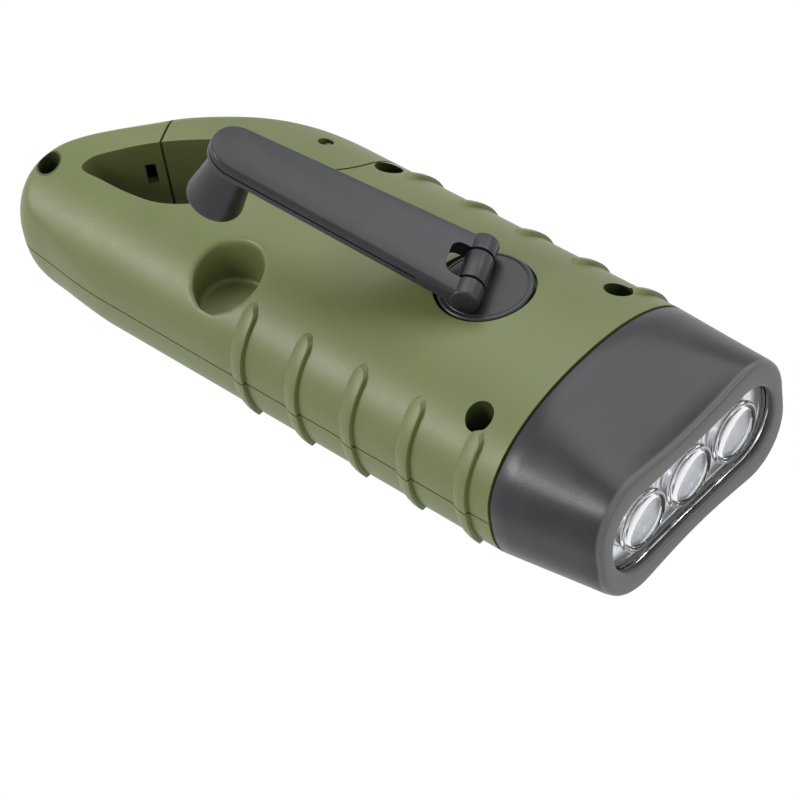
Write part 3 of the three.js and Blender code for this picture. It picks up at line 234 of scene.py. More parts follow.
def case_section(inset=0.0, count=192):
    """The case's cross-section as (y, z), superellipses above and below the parting plane."""
    turn = (np.arange(count) + 0.5) * 2 * math.pi / count
    c, s = np.cos(turn), np.sin(turn)
    power = np.where(s > 0, TOP_POWER, BOTTOM_POWER)
    tall = np.where(s > 0, TOP_RISE, BOTTOM_DROP) - inset
    y = (HALF_WIDTH - inset) * np.sign(c) * np.abs(c) ** (2 / power)
    z = PARTING + tall * np.sign(s) * np.abs(s) ** (2 / power)
    return np.stack([y, np.maximum(z, inset)], 1)


def at_x(outline, x):
    return np.insert(outline, 0, x, axis=1)


def at_z(outline, z):
    return np.insert(outline, 2, z, axis=1)


def from_shares(shares):
    return [(TAIL - along * TAIL_LENGTH, across * HALF_WIDTH) for along, across in shares]


def plan_outline(front, inset=0.0):
    """The case seen from above, from the near side round the tail's tip to the far side."""
    through = [(TAIL, -HALF_WIDTH), *from_shares(PLAN_SHARES), (TAIL, HALF_WIDTH)]
    tail = smooth_line(through, 200)
    outline = moved_out([(front, -HALF_WIDTH), *tail, (front, HALF_WIDTH)], -inset)
    outline[0] = (front, outline[1][1])
    outline[-1] = (front, outline[-2][1])
    if inset:
        return outline
    wide = HALF_WIDTH + 2
    return np.array([(x, math.copysign(wide, y)) if x >= TAIL else (x, y) for x, y in outline])


def drawn_in(share, power, amount):
    """How far the tail's outline is drawn in at a share of the case's rise or drop."""
    return amount * HALF_WIDTH * (1 - (1 - share ** power) ** (1 / power))


def plan_form(name, front, inset=0.0):
    """The plan outline pulled up through the case, narrowing above and below its widest plane."""
    outline = plan_outline(front, inset)

    def ring_at(z, narrowing):
        x, y = outline[:, 0], outline[:, 1]
        tail = np.where(x < TAIL, TAIL + (x - TAIL) * (1 - narrowing / TAIL_LENGTH), x)
        return at_z(np.stack([tail, y * (1 - narrowing / HALF_WIDTH)], 1), z)

    foot = drawn_in(KEEL_FOOT, BOTTOM_POWER, KEEL_DRAW)
    top = drawn_in(1, TOP_POWER, SHOULDER_DRAW)
    rings = [ring_at(-5, foot), ring_at(PARTING - KEEL_FOOT * (BOTTOM_DROP - inset), foot)]
    for a in np.linspace(math.asin(KEEL_FOOT), 0, 13)[1:-1]:
        share = math.sin(a)
        narrowing = drawn_in(share, BOTTOM_POWER, KEEL_DRAW)
        rings.append(ring_at(PARTING - share * (BOTTOM_DROP - inset), narrowing))
    for a in quarter(17):
        share = min(1.0, math.sin(a))
        narrowing = drawn_in(share, TOP_POWER, SHOULDER_DRAW)
        rings.append(ring_at(PARTING + share * (TOP_RISE - inset), narrowing))
    return skinned(name, [*rings, ring_at(40, top)])


def hole_outline(grow=0.0):
    return moved_out(smooth_line(from_shares(HOLE_SHARES), 140, closed=True), grow)


def gate_zone(grow=0.0, sides=56):
    """The gate's zone in plan, grown where it meets the case."""
    x, y, angle = GATE_CUT
    along = (math.cos(angle), math.sin(angle))
    x, y = x - grow * along[1], y + grow * along[0]
    radius = HEEL + grow
    points = [
        (PIVOT[0] + radius, PIVOT[1] + HALF_WIDTH),
        (x + HALF_WIDTH * along[0], y + HALF_WIDTH * along[1]),
        (x - HEEL * along[0], y - HEEL * along[1]),
    ]
    for turn in np.linspace(0.68, 1, sides) * 2 * math.pi:
        points.append((PIVOT[0] + radius * math.cos(turn), PIVOT[1] + radius * math.sin(turn)))
    return np.array(points)


def along_arm(distance):
    return np.array(HUB) + distance * np.array([math.cos(CRANK_TURN), math.sin(CRANK_TURN)])


def pocket_outline(grow=0.0, sides=28):
    """The knob pocket: two half circles along the stowed arm."""
    points = []
    for reach, turn in ((POCKET_REACH, 0.0), (0.0, math.pi)):
        middle = along_arm(HINGE_ALONG + KNOB_ALONG + reach)
        for part in np.linspace(-math.pi / 2, math.pi / 2, sides):
            angle = CRANK_TURN + turn + part
            way = np.array([math.cos(angle), math.sin(angle)])
            points.append(middle + (POCKET_RADIUS + grow) * way)
    return np.array(points)


# Modelling


def clear_selection():
    if bpy.context.mode != "OBJECT":
        bpy.ops.object.mode_set(mode="OBJECT")
    bpy.ops.object.select_all(action="DESELECT")


def pick(piece):
    clear_selection()
    piece.select_set(True)
    bpy.context.view_layer.objects.active = piece
    return piece


def named(name):
    piece = bpy.context.object
    piece.name = name
    piece.data.name = name
    return piece


def facing_out(piece):
    """Turns a closed piece's faces outwards."""
    pick(piece)
    bpy.ops.object.mode_set(mode="EDIT")
    bpy.ops.mesh.select_all(action="SELECT")
    bpy.ops.mesh.normals_make_consistent(inside=False)
    bpy.ops.object.mode_set(mode="OBJECT")
    return piece


def sleeved(piece):
    """Joins the two open ends of a skin, so that it closes as a thick ring."""
    pick(piece)
    bpy.ops.object.mode_set(mode="EDIT")
    bpy.ops.mesh.select_all(action="DESELECT")
    bpy.ops.mesh.select_non_manifold()
    bpy.ops.mesh.bridge_edge_loops()
    return facing_out(piece)


def ring(name, points, fill="NOTHING"):
    """A circle whose vertices are laid along an outline of [x, y, z] points."""
    clear_selection()
    bpy.ops.mesh.primitive_circle_add(vertices=len(points), radius=1, fill_type=fill)
    piece = named(name)
    piece.data.vertices.foreach_set("co", np.asarray(points, float).ravel())
    piece.data.update()
    return piece


def drawn(name, outline, low, high):
    """An outline in plan, filled and extruded from z = low to z = high."""
    piece = pick(ring(name, at_z(outline, low), "NGON"))
    bpy.ops.object.mode_set(mode="EDIT")
    bpy.ops.mesh.select_all(action="SELECT")
    bpy.ops.mesh.extrude_region_move(TRANSFORM_OT_translate={"value": (0, 0, high - low)})
    return facing_out(piece)


def skinned(name, rings, ends=True):
    """A circle extruded through rings of equally many points, and closed at both ends."""
    piece = pick(ring(name, rings[0]))
    bpy.ops.object.mode_set(mode="EDIT")
    bpy.ops.mesh.select_mode(type="EDGE")
    bpy.ops.mesh.select_all(action="SELECT")
    for before, after in zip(rings, rings[1:]):
        place = {tuple(np.round(p, 3)): q for p, q in zip(np.asarray(before, np.float32), after)}
        bpy.ops.mesh.extrude_region_move()
        cage = bmesh.from_edit_mesh(piece.data)
        for vertex in cage.verts:
            if vertex.select:
                vertex.co = place[tuple(np.round(np.array(vertex.co, np.float32), 3))]
        bmesh.update_edit_mesh(piece.data)
    bpy.ops.mesh.select_mode(type="VERT")
    bpy.ops.mesh.select_all(action="SELECT")
    if ends:
        bpy.ops.mesh.fill_holes(sides=0)
    return facing_out(piece)


def spun(name, profile, sides=64):
    """A profile of (radius, height) points spun about an upright axis at the origin.

    A profile that starts and ends on the axis is spun open, so that its middle closes by itself.
    """
    clear_selection()
    bpy.ops.mesh.primitive_circle_add(vertices=len(profile), radius=1, fill_type="NOTHING")
    piece = named(name)
    points = [(r, 0.0, h) for r, h in profile]
    piece.data.vertices.foreach_set("co", np.array(points, float).ravel())
    pick(piece)
    bpy.ops.object.mode_set(mode="EDIT")
    if profile[0][0] == 0 and profile[-1][0] == 0:
        bpy.ops.mesh.select_all(action="DESELECT")
        cage = bmesh.from_edit_mesh(piece.data)
        cage.verts.ensure_lookup_table()
        closing = cage.edges.get((cage.verts[0], cage.verts[len(profile) - 1]))
        closing.select_set(True)
        bmesh.update_edit_mesh(piece.data)
        bpy.ops.mesh.delete(type="EDGE")
    bpy.ops.mesh.select_all(action="SELECT")
    bpy.ops.mesh.spin(steps=sides, angle=2 * math.pi, center=(0, 0, 0), axis=(0, 0, 1))
    bpy.ops.mesh.select_all(action="SELECT")
    bpy.ops.mesh.remove_doubles(threshold=0.0005)
    bpy.ops.mesh.dissolve_degenerate(threshold=0.0002)
    return facing_out(piece)


def post(name, x, y, radius, low, high, sides=48):
    clear_selection()
    bpy.ops.mesh.primitive_cylinder_add(
        vertices=sides, radius=radius, depth=high - low, location=(x, y, (low + high) / 2),
    )
    return placed(named(name))


def block(name, x, y, z):
    """A box between three pairs of limits."""
    clear_selection()
    bpy.ops.mesh.primitive_cube_add(size=1, location=[(a + b) / 2 for a, b in (x, y, z)])
    piece = named(name)
    piece.scale = [b - a for a, b in (x, y, z)]
    return placed(piece)


def placed(piece):
    """Puts a piece's place, turn and size in its mesh."""
    pick(piece)
    bpy.ops.object.transform_apply(location=True, rotation=True, scale=True)
    return piece


def copy_of(piece, name):
    twin = piece.copy()
    twin.data = piece.data.copy()
    twin.name = name
    twin.data.name = name
    bpy.context.scene.collection.objects.link(twin)
    return twin


def applied(piece, kind, **settings):
    """Adds a modifier with its settings and applies it."""
    pick(piece)
    modifier = piece.modifiers.new(kind.title(), kind)
    for key, value in settings.items():
        setattr(modifier, key, value)
    bpy.ops.object.modifier_apply(modifier=modifier.name)
    return piece


def combined(piece, operation, *tools, keep=False):
    """Joins, cuts or meets a piece with tools, which are used up unless keep is set."""
    for tool in tools:
        before = [tuple(v.co) for v in piece.data.vertices]
        applied(piece, "BOOLEAN", operation=operation, solver="MANIFOLD", object=tool)
        if len(piece.data.vertices) == 0 or [tuple(v.co) for v in piece.data.vertices] == before:
            raise RuntimeError(f"{tool.name} did not change {piece.name}")
        if not keep:
            bpy.data.objects.remove(tool)
    return piece


def cut(piece, *tools, keep=False):
    return combined(piece, "DIFFERENCE", *tools, keep=keep)


def join(piece, *tools, keep=False):
    return combined(piece, "UNION", *tools, keep=keep)


def meet(piece, *tools, keep=False):
    return combined(piece, "INTERSECT", *tools, keep=keep)


def softened(piece, width, segments=3, angle=30):
    return applied(
        piece, "BEVEL", width=width, segments=segments, limit_method="ANGLE",
        angle_limit=math.radians(angle), harden_normals=False, use_clamp_overlap=True,
    )


def settle(piece, body, slot, *nodes, angle=32):
    """Shades a finished piece, brings it to metres and puts it on its body."""
    pick(piece)
    bpy.ops.object.shade_smooth_by_angle(angle=math.radians(angle), keep_sharp_edges=False)
    piece.scale = (0.001, 0.001, 0.001)
    placed(piece)
    piece.data.materials.clear()
    piece.data.materials.append(finish_of(slot))
    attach(piece, body)
    if nodes:
        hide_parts(*nodes)
    return piece


# Shader maths


class Wire:
    """A shader socket, so that sums on it read as Python."""

    def __init__(self, finish, socket):
        self.finish = finish
        self.socket = socket

    def sum(self, operation, first, second):
        return self.finish.make("ShaderNodeMath", {"operation": operation}, {0: first, 1: second})

    def __add__(self, other):
        return self.sum("ADD", self, other)

    def __radd__(self, other):
        return self.sum("ADD", other, self)

    def __sub__(self, other):
        return self.sum("SUBTRACT", self, other)

    def __rsub__(self, other):
        return self.sum("SUBTRACT", other, self)

    def __mul__(self, other):
        return self.sum("MULTIPLY", self, other)

    def __rmul__(self, other):
        return self.sum("MULTIPLY", other, self)

    def __pow__(self, other):
        return self.sum("POWER", self, other)

    def above(self, limit):
        return self.sum("GREATER_THAN", self, limit)

    def below(self, limit):
        return self.sum("LESS_THAN", self, limit)


class Finish:
    """A node material with one Principled shader."""

    def __init__(self, name, **constants):
        self.material = bpy.data.materials.new(name)
        self.material.use_nodes = True
        self.tree = self.material.node_tree
        self.shader = self.tree.nodes["Principled BSDF"]
        for key, value in constants.items():
            socket = self.shader.inputs[key.replace("_", " ").title().replace("Ior", "IOR")]
            socket.default_value = (*value, 1.0) if isinstance(value, tuple) else value

    def make(self, kind, settings=None, inputs=None, output=0):
        """A node of a type, with its settings, then the values or links of its sockets."""
        node = self.tree.nodes.new(kind)
        for key, value in (settings or {}).items():
            if key == "stops":
                ramp = node.color_ramp.elements
                while len(ramp) < len(value):
                    ramp.new(0.5)
                for element, (place, shade) in zip(ramp, value):
                    element.position = place
                    element.color = (*shade, 1.0)
            else:
                setattr(node, key, value)
        for key, value in (inputs or {}).items():
            if isinstance(value, Wire):
                self.tree.links.new(value.socket, node.inputs[key])
            else:
                node.inputs[key].default_value = value
        return Wire(self, node.outputs[output])

    def feed(self, **wires):
        for key, wire in wires.items():
            self.tree.links.new(wire.socket, self.shader.inputs[key.replace("_", " ").title()])
        return self.material

    def place(self):
        return self.make("ShaderNodeTexCoord", output="Object")

    def noise(self, scale, detail=2.0, roughness=0.5, vector=None):
        inputs = {"Vector": vector or self.place(), "Scale": scale}
        inputs |= {"Detail": detail, "Roughness": roughness}
        return self.make("ShaderNodeTexNoise", {}, inputs)

    def parts(self, vector=None):
        """The x, y and z of a vector."""
        inputs = {0: vector or self.place()}
        first = self.make("ShaderNodeSeparateXYZ", {}, inputs)
        node = first.socket.node
        return [Wire(self, node.outputs[i]) for i in range(3)]

    def between(self, wire, low, high, to_low=0.0, to_high=1.0):
        inputs = {0: wire, 1: low, 2: high, 3: to_low, 4: to_high}
        return self.make("ShaderNodeMapRange", {"clamp": True}, inputs)

    def mixed(self, factor, first, second):
        """A colour between two colours."""
        def whole(shade):
            return shade if isinstance(shade, Wire) else (*shade, 1.0)
        inputs = {0: factor, 6: whole(first), 7: whole(second)}
        return self.make("ShaderNodeMix", {"data_type": "RGBA"}, inputs, output=2)

    def folded(self, wire, span):
        """Runs from nothing to span and back along a value."""
        return self.make("ShaderNodeMath", {"operation": "PINGPONG"}, {0: wire, 1: span})

    def bump(self, height, distance, strength=1.0):
        inputs = {"Height": height, "Distance": distance, "Strength": strength}
        return self.make("ShaderNodeBump", {}, inputs)


def shaded(colour_value, factor):
    return tuple(min(1.0, c * factor) for c in colour_value)


def in_screw_holes(finish):
    """Is 1 inside the screws' counterbores, where little light reaches."""
    x, y = finish.parts()[:2]
    inside = None
    for across, along in SCREWS.values():
        reach = (x - across / 1000) ** 2 + (y - along / 1000) ** 2
        hole = reach.below((HOLE_SHADE_RADIUS / 1000) ** 2)
        inside = hole if inside is None else inside + hole
    return inside


def moulded(name, base, roughness, grain, level=0.5, hole_shade=False, rim=None):
    """Satin moulded plastic: a fine eroded texture, faint flow marks and slight tone changes."""
    finish = Finish(name, roughness=roughness, specular_ior_level=level, ior=1.5)
    tone = finish.noise(38.0, 3.0)
    texture = finish.noise(2600.0, 2.0, 0.6)
    rubbed = finish.between(finish.noise(170.0, 4.0, 0.65), 0.42, 0.72)
    shade = finish.mixed(finish.between(tone, 0.35, 0.65), shaded(base, 0.95), shaded(base, 1.05))
    shade = finish.mixed(rubbed * 0.10, shade, tuple(0.6 * c + 0.09 for c in base))
    # Painted shade: inside the screws' counterbores the colour is painted at 0.3 of the base,
    # standing in for their shade.
    if hole_shade:
        shade = finish.mixed(in_screw_holes(finish), shade, shaded(base, 0.3))
    # Painted highlight: past x = 61.7 mm the lamp head's front face is painted in the lighter rim
    # colour, standing in for the light falling on it from the front.
    if rim:
        x = finish.parts()[0]
        shade = finish.mixed(finish.between(x, 0.0617, 0.0622), shade, rim)
    gloss = roughness + (texture - 0.5) * 0.12 + rubbed * 0.04
    return finish.feed(
        base_color=shade, roughness=gloss, normal=finish.bump(texture, grain, 0.35),
    )


def metal(name, base, roughness, brushed=900.0):
    finish = Finish(name, metallic=1.0, roughness=roughness)
    inputs = {"Vector": finish.place(), "Scale": (1.0, 1.0, 0.08)}
    stretch = finish.make("ShaderNodeMapping", {}, inputs)
    line = finish.noise(brushed, 3.0, 0.6, stretch)
    spot = finish.noise(420.0, 2.0)
    shade = finish.mixed(finish.between(spot, 0.4, 0.7), shaded(base, 0.9), base)
    return finish.feed(
        base_color=shade, roughness=roughness + (line - 0.5) * 0.2,
        normal=finish.bump(line, 0.00001, 0.5),
    )


def clear_plastic(name):
    finish = Finish(name, base_color=(0.97, 0.985, 1.0), transmission_weight=1.0, ior=1.49)
    scuff = finish.between(finish.noise(700.0, 4.0, 0.7), 0.55, 0.8)
    return finish.feed(roughness=0.02 + scuff * 0.05)


def reflector_metal(base):
    """Bright metallised plastic with the faint rings that the mould leaves."""
    finish = Finish("reflector_chrome", metallic=1.0, roughness=0.08)
    ripple = finish.noise(900.0, 2.0)
    shade = finish.mixed(finish.between(ripple, 0.3, 0.7), shaded(base, 0.93), base)
    return finish.feed(
        base_color=shade, roughness=0.14 + ripple * 0.1, normal=finish.bump(ripple, 0.00002, 0.4),
    )


def led_resin():
    """Clear resin over a pale yellow phosphor that shows at the middle of the dome."""
    finish = Finish("led_resin", ior=1.5, coat_weight=1.0, coat_roughness=0.03)
    x = finish.parts()[0]
    inner = finish.between(finish.noise(1500.0, 1.0), 0.3, 0.7)
    deep = finish.between(x, 0.0515, 0.0535)
    shade = finish.mixed(deep, (0.9, 0.76, 0.25), (0.86, 0.88, 0.86))
    shade = finish.mixed(inner * 0.15, shade, (1.0, 1.0, 0.97))
    return finish.feed(base_color=shade, roughness=0.12 + inner * 0.08)


def solar_cells(base):
    """Dark cells with fine collector lines, and wider gaps between the strips."""
    finish = Finish("solar_cell", ior=1.5, coat_weight=0.6, coat_roughness=0.05)
    x, y = finish.parts()[:2]
    strip = finish.folded(x - 0.001, 0.00217)
    finger = finish.folded(y, 0.0005)
    gap = strip.above(0.00202)
    line = finger.above(0.00046)
    grain = finish.noise(260.0, 3.0)
    shade = finish.mixed(finish.between(grain, 0.35, 0.65), base, shaded(base, 2.4))
    shade = finish.mixed(line * 0.7, shade, (0.32, 0.34, 0.38))
    shade = finish.mixed(gap, shade, (0.45, 0.44, 0.40))
    return finish.feed(base_color=shade, roughness=0.25 + line * 0.2)


def circuit_board():
    """Green lacquer over copper tracks that run both ways."""
    finish = Finish("circuit_board", ior=1.5, coat_weight=0.5, coat_roughness=0.15)
    x, y = finish.parts()[:2]
    across = finish.folded(y, 0.0009)
    along = finish.folded(x, 0.0017)
    patch = finish.noise(240.0, 0.0)
    track = across.above(0.00066) * patch.above(0.5) + along.above(0.0014) * (1 - patch.above(0.5))
    shade = finish.mixed(track, (0.012, 0.085, 0.035), (0.03, 0.19, 0.08))
    gloss = 0.3 + patch * 0.1
    return finish.feed(base_color=shade, roughness=gloss, normal=finish.bump(track, 0.00003))


def wound_copper():
    finish = Finish("copper", metallic=0.9, roughness=0.3)
    z = finish.parts()[2]
    turn = finish.folded(z, 0.00012)
    patch = finish.noise(500.0, 2.0)
    shade = finish.mixed(finish.between(patch, 0.3, 0.7), (0.42, 0.15, 0.05), (0.66, 0.27, 0.11))
    return finish.feed(
        base_color=shade, roughness=0.24 + patch * 0.15, normal=finish.bump(turn, 0.0001, 0.8),
    )


def soft_sleeve():
    finish = Finish("lead_sleeve", roughness=0.45)
    mark = finish.noise(800.0, 3.0)
    worn = finish.between(mark, 0.35, 0.65)
    shade = finish.mixed(worn, (0.34, 0.02, 0.015), (0.45, 0.035, 0.025))
    return finish.feed(base_color=shade, roughness=0.4 + mark * 0.15)


def sintered(name, base):
    finish = Finish(name, metallic=0.6, roughness=0.5)
    pore = finish.noise(1800.0, 4.0, 0.7)
    shade = finish.mixed(finish.between(pore, 0.35, 0.7), shaded(base, 0.7), base)
    gloss = 0.4 + pore * 0.2
    return finish.feed(base_color=shade, roughness=gloss, normal=finish.bump(pore, 0.00003))


def all_finishes():
    shades = bpy.context.scene.flashlight_finishes
    return {
        # The case's screw counterbores are painted in shade.
        "case_green": moulded("case_green", tuple(shades.olive), 0.43, 0.00003, hole_shade=True),
        "black_plastic": moulded(
            "black_plastic", tuple(shades.charcoal), 0.33, 0.000025, 0.4,
            # The head's front face is painted lighter, a painted highlight.
            rim=(0.11, 0.11, 0.108),
        ),
        "clear_plastic": clear_plastic("clear_plastic"),
        "reflector_chrome": reflector_metal(tuple(shades.silver)),
        "led_resin": led_resin(),
        "steel": metal("steel", (0.13, 0.135, 0.14), 0.36),
        "white_nylon": moulded("white_nylon", (0.72, 0.70, 0.62), 0.5, 0.00002),
        "magnet": sintered("magnet", (0.11, 0.115, 0.12)),
        "copper": wound_copper(),
        "circuit_board": circuit_board(),
        "black_resin": moulded("black_resin", (0.018, 0.018, 0.02), 0.55, 0.00004),
        "solar_cell": solar_cells(tuple(shades.cells)),
        "lead_sleeve": soft_sleeve(),
    }


def finish_of(slot):
    """The material of a slot, made once."""
    if slot not in bpy.data.materials:
        raise RuntimeError(f"there is no finish named {slot}")
    return bpy.data.materials[slot]


class OBJECT_OT_flashlight_finishes(bpy.types.Operator):
    """Make the materials and put them on the solids inside the case"""

    bl_idname = "object.flashlight_finishes"
    bl_label = "Finishes"

    def execute(self, context):
        for node in frame["nodes"].values():
            node.data.materials.clear()
        for material in list(bpy.data.materials):
            bpy.data.materials.remove(material)
        all_finishes()
        for row in frame["record"]["subparts"]:
            frame["nodes"][row["node"]].data.materials.append(finish_of(row["material_slot"]))
        return {"FINISHED"}


# Case


def grip_rib(height):
    """One rib of the near side: it rises towards the head and ends there in a step."""
    turns = np.linspace(0, math.pi, 26)
    middles = [RIB_LENGTH - RIB_ARCH] * 13 + [RIB_ARCH] * 13
    dome = [
        (middle + RIB_ARCH * math.cos(a), RIB_TOP - RIB_ARCH + RIB_ARCH * math.sin(a))
        for middle, a in zip(middles, turns)
    ]
    side = np.array([(0.0, RIB_BOTTOM), (RIB_LENGTH, RIB_BOTTOM), *dome])
    window = drawn("rib", side, 0, HALF_WIDTH / 2 + 1)
    window.rotation_euler = (math.pi / 2, 0, 0)
    window.location = (0, -HALF_WIDTH / 2, 0)
    placed(window)
    steps = (
        (0.15, -0.01), (0.6, RIB_LENGTH * 0.25), (0.9, RIB_LENGTH * 0.55),
        (1, RIB_LENGTH * 0.8), (1, RIB_LENGTH + 0.01),
    )
    wedge = skinned("rib_wedge", [at_x(case_section(-share * height), x) for share, x in steps])
    return softened(meet(window, wedge), 0.16, 2, 50)


def case_blank(sizes):
    """The whole moulded skin before it is parted: tail, loop, pocket, ribs and recesses."""
    bar = skinned("case_blank", [at_x(case_section(), x) for x in (REAR - 3, SEAM + 6)])
    meet(bar, plan_form("plan", SEAM + 9))
    cut(
        bar,
        drawn("loop_stage", hole_outline(-0.9), *THROUGH),
        drawn("pocket", pocket_outline(), POCKET_FLOOR, 40),
    )
    applied(bar, "REMESH", mode="VOXEL", voxel_size=sizes.voxel * 1000)
    applied(bar, "SMOOTH", factor=0.5, iterations=sizes.edge_passes)
    cut(bar, drawn("loop", hole_outline(), *THROUGH))
    first = grip_rib(sizes.rib_height * 1000)
    for index in range(RIB_COUNT):
        near = copy_of(first, "rib_near")
        near.location.x = RIB_FIRST + index * RIB_PITCH - RIB_LENGTH
        placed(near)
        far = copy_of(near, "rib_far")
        far.scale.y = -1
        join(bar, near, facing_out(placed(far)))
    bpy.data.objects.remove(first)
    cut(bar, post("disc_recess", *HUB, 7.95, 26.4, 40, 128))
    cut(bar, *[
        post("counterbore", x, y, 1.9 if name == "case_screw_tip" else 2.2, SCREW_SEAT, 40)
        for name, (x, y) in SCREWS.items()
    ])
    cut(bar, post("pin_bore", *PIVOT, 1.3, *THROUGH, 32))
    pick(bar)
    bpy.ops.object.mode_set(mode="EDIT")
    bpy.ops.mesh.select_all(action="SELECT")
    bpy.ops.mesh.bisect(
        plane_co=(SEAM - GAP / 2, 0, 0), plane_no=(1, 0, 0), use_fill=True, clear_outer=True,
    )
    bpy.ops.object.mode_set(mode="OBJECT")
    return bar


def case_hollow():
    """The room inside the case, round the walls of the loop, gate, pocket and bosses."""
    room = skinned("hollow", [at_x(case_section(WALL, 96), x) for x in (REAR - 3, SEAM + 2)])
    meet(room, plan_form("hollow_plan", SEAM + 3, WALL))
    cut(
        room,
        drawn("loop_wall", hole_outline(WALL), *FAR_THROUGH),
        drawn("gate_wall", gate_zone(0.4 + WALL), *FAR_THROUGH),
        drawn("pocket_wall", pocket_outline(1.6), POCKET_FLOOR - 1.6, 41),
    )
    cut(room, *[post("boss", x, y, 3.3, *FAR_THROUGH, 32) for x, y in SCREWS.values()])
    return cut(room, post("hub_boss", *HUB, 8.9, 24.3, 41, 64))


def gate_tongue():
    """The tongue of the case that carries the gate's pin between its ears."""
    low, high = PARTING - TONGUE_HALF, PARTING + TONGUE_HALF
    tongue = post("tongue", *PIVOT, TONGUE_RADIUS, low, high)
    root = (PIVOT[0], PIVOT[0] + HEEL + 1.3)
    join(tongue, block("tongue_root", root, (PIVOT[1] - 3, PIVOT[1] + 3), (low + 0.1, high - 0.1)))
    limits = skinned("tongue_limits", [at_x(case_section(GAP), x) for x in (-40, 10)])
    meet(limits, plan_form("tongue_plan", SEAM, GAP))
    return meet(tongue, limits)


def latch_slot():
    """The slot in the loop's wall that the gate's catch would spring into."""
    slot = block("latch_slot", (-0.9, 0.9), (-1.5, 1.5), (20.2, 24.4))
    slot.rotation_euler.z = math.radians(46)
    slot.location = (-45.4, -3.4, 0)
    return placed(slot)


class OBJECT_OT_flashlight_case(bpy.types.Operator):
    """Build the two case shells and the loop's gate from one moulded skin"""

    bl_idname = "object.flashlight_case"
    bl_label = "Case and gate"

    def execute(self, context):
        blank = case_blank(context.scene.flashlight_case)
        gate = copy_of(blank, "loop_gate")
        meet(gate, drawn("gate_zone", gate_zone(), *THROUGH))
        reach = TONGUE_RADIUS + GAP
        ears = (PARTING - EAR, PARTING + EAR)
        cut(
            gate,
            post("tongue_room", *PIVOT, reach, *ears),
            block("root_room", (PIVOT[0] - GAP, PIVOT[0] + HALF_WIDTH), (-SPAN, SPAN), ears),
        )
        settle(gate, "gate", "case_green", "gate")
        cut(blank, case_hollow(), drawn("gate_room", gate_zone(0.4), *FAR_THROUGH))
        join(blank, gate_tongue())
        cut(blank, post("spring_room", *PIVOT, 2.9, PARTING + 0.8, PARTING + 5.4))
        cut(blank, *[post("shank_hole", x, y, 1.3, 7.2, 30, 24) for x, y in SCREWS.values()])
        cut(
            blank,
            post("hub_bore", *HUB, 3.3, 20, 30),
            block("panel_room", *PANEL_ROOM),
            post("button_hole", BUTTON_ALONG, 0, 4.3, -2, 3),
            post("tongue_bore", *PIVOT, 1.3, *THROUGH, 32),
            latch_slot(),
        )
        upper = copy_of(blank, "case_upper")
        meet(upper, block("above", (-SPAN, SPAN), (-SPAN, SPAN), (SHELL_SEAM + GAP / 2, 45)))
        settle(upper, "case", "case_green", "upper_shell")
        meet(blank, block("below", (-SPAN, SPAN), (-SPAN, SPAN), (-9, SHELL_SEAM - GAP / 2)))
        blank.name = "case_lower"
        blank.data.name = "case_lower"
        settle(blank, "case", "case_green", "lower_shell")
        return {"FINISHED"}


# Lamp head


def waist_of(waist, across, up):
    dip = waist * np.cos(np.minimum(1, np.abs(across)) * math.pi / 2) ** 2
    return np.sign(up) * dip * np.minimum(1, np.abs(up))


def rim_outline(half_y, half_z, corner, waist, count=192):
    """A waisted rounded rectangle as (y, z), at the same turns as the case's cross-section."""
    turn = (np.arange(count) + 0.5) * 2 * math.pi / count
    u, v = [np.sign(t) * np.abs(t) ** (2 / 3) for t in (np.cos(turn), np.sin(turn))]
    stretch = 1 / np.maximum(np.abs(u), np.abs(v))
    y, z = u * stretch * half_y, v * stretch * half_z
    cy, cz = half_y - corner, half_z - corner
    dy, dz = np.abs(y) - cy, np.abs(z) - cz
    inside = (dy > 0) & (dz > 0)
    reach = np.where(inside, np.hypot(dy, dz), 1)
    y = np.where(inside, np.sign(y) * (cy + dy / reach * corner), y)
    z = np.where(inside, np.sign(z) * (cz + dz / reach * corner), z)
    return np.stack([y, PARTING + z - waist_of(waist, y / half_y, z / half_z)], 1)


def head_rim(waist, inset=0.0):
    return rim_outline(*[size - inset for size in HEAD_RIM], waist)


def mouth_rim(grow=0.0):
    return rim_outline(*[size + grow for size in MOUTH], MOUTH_WAIST)


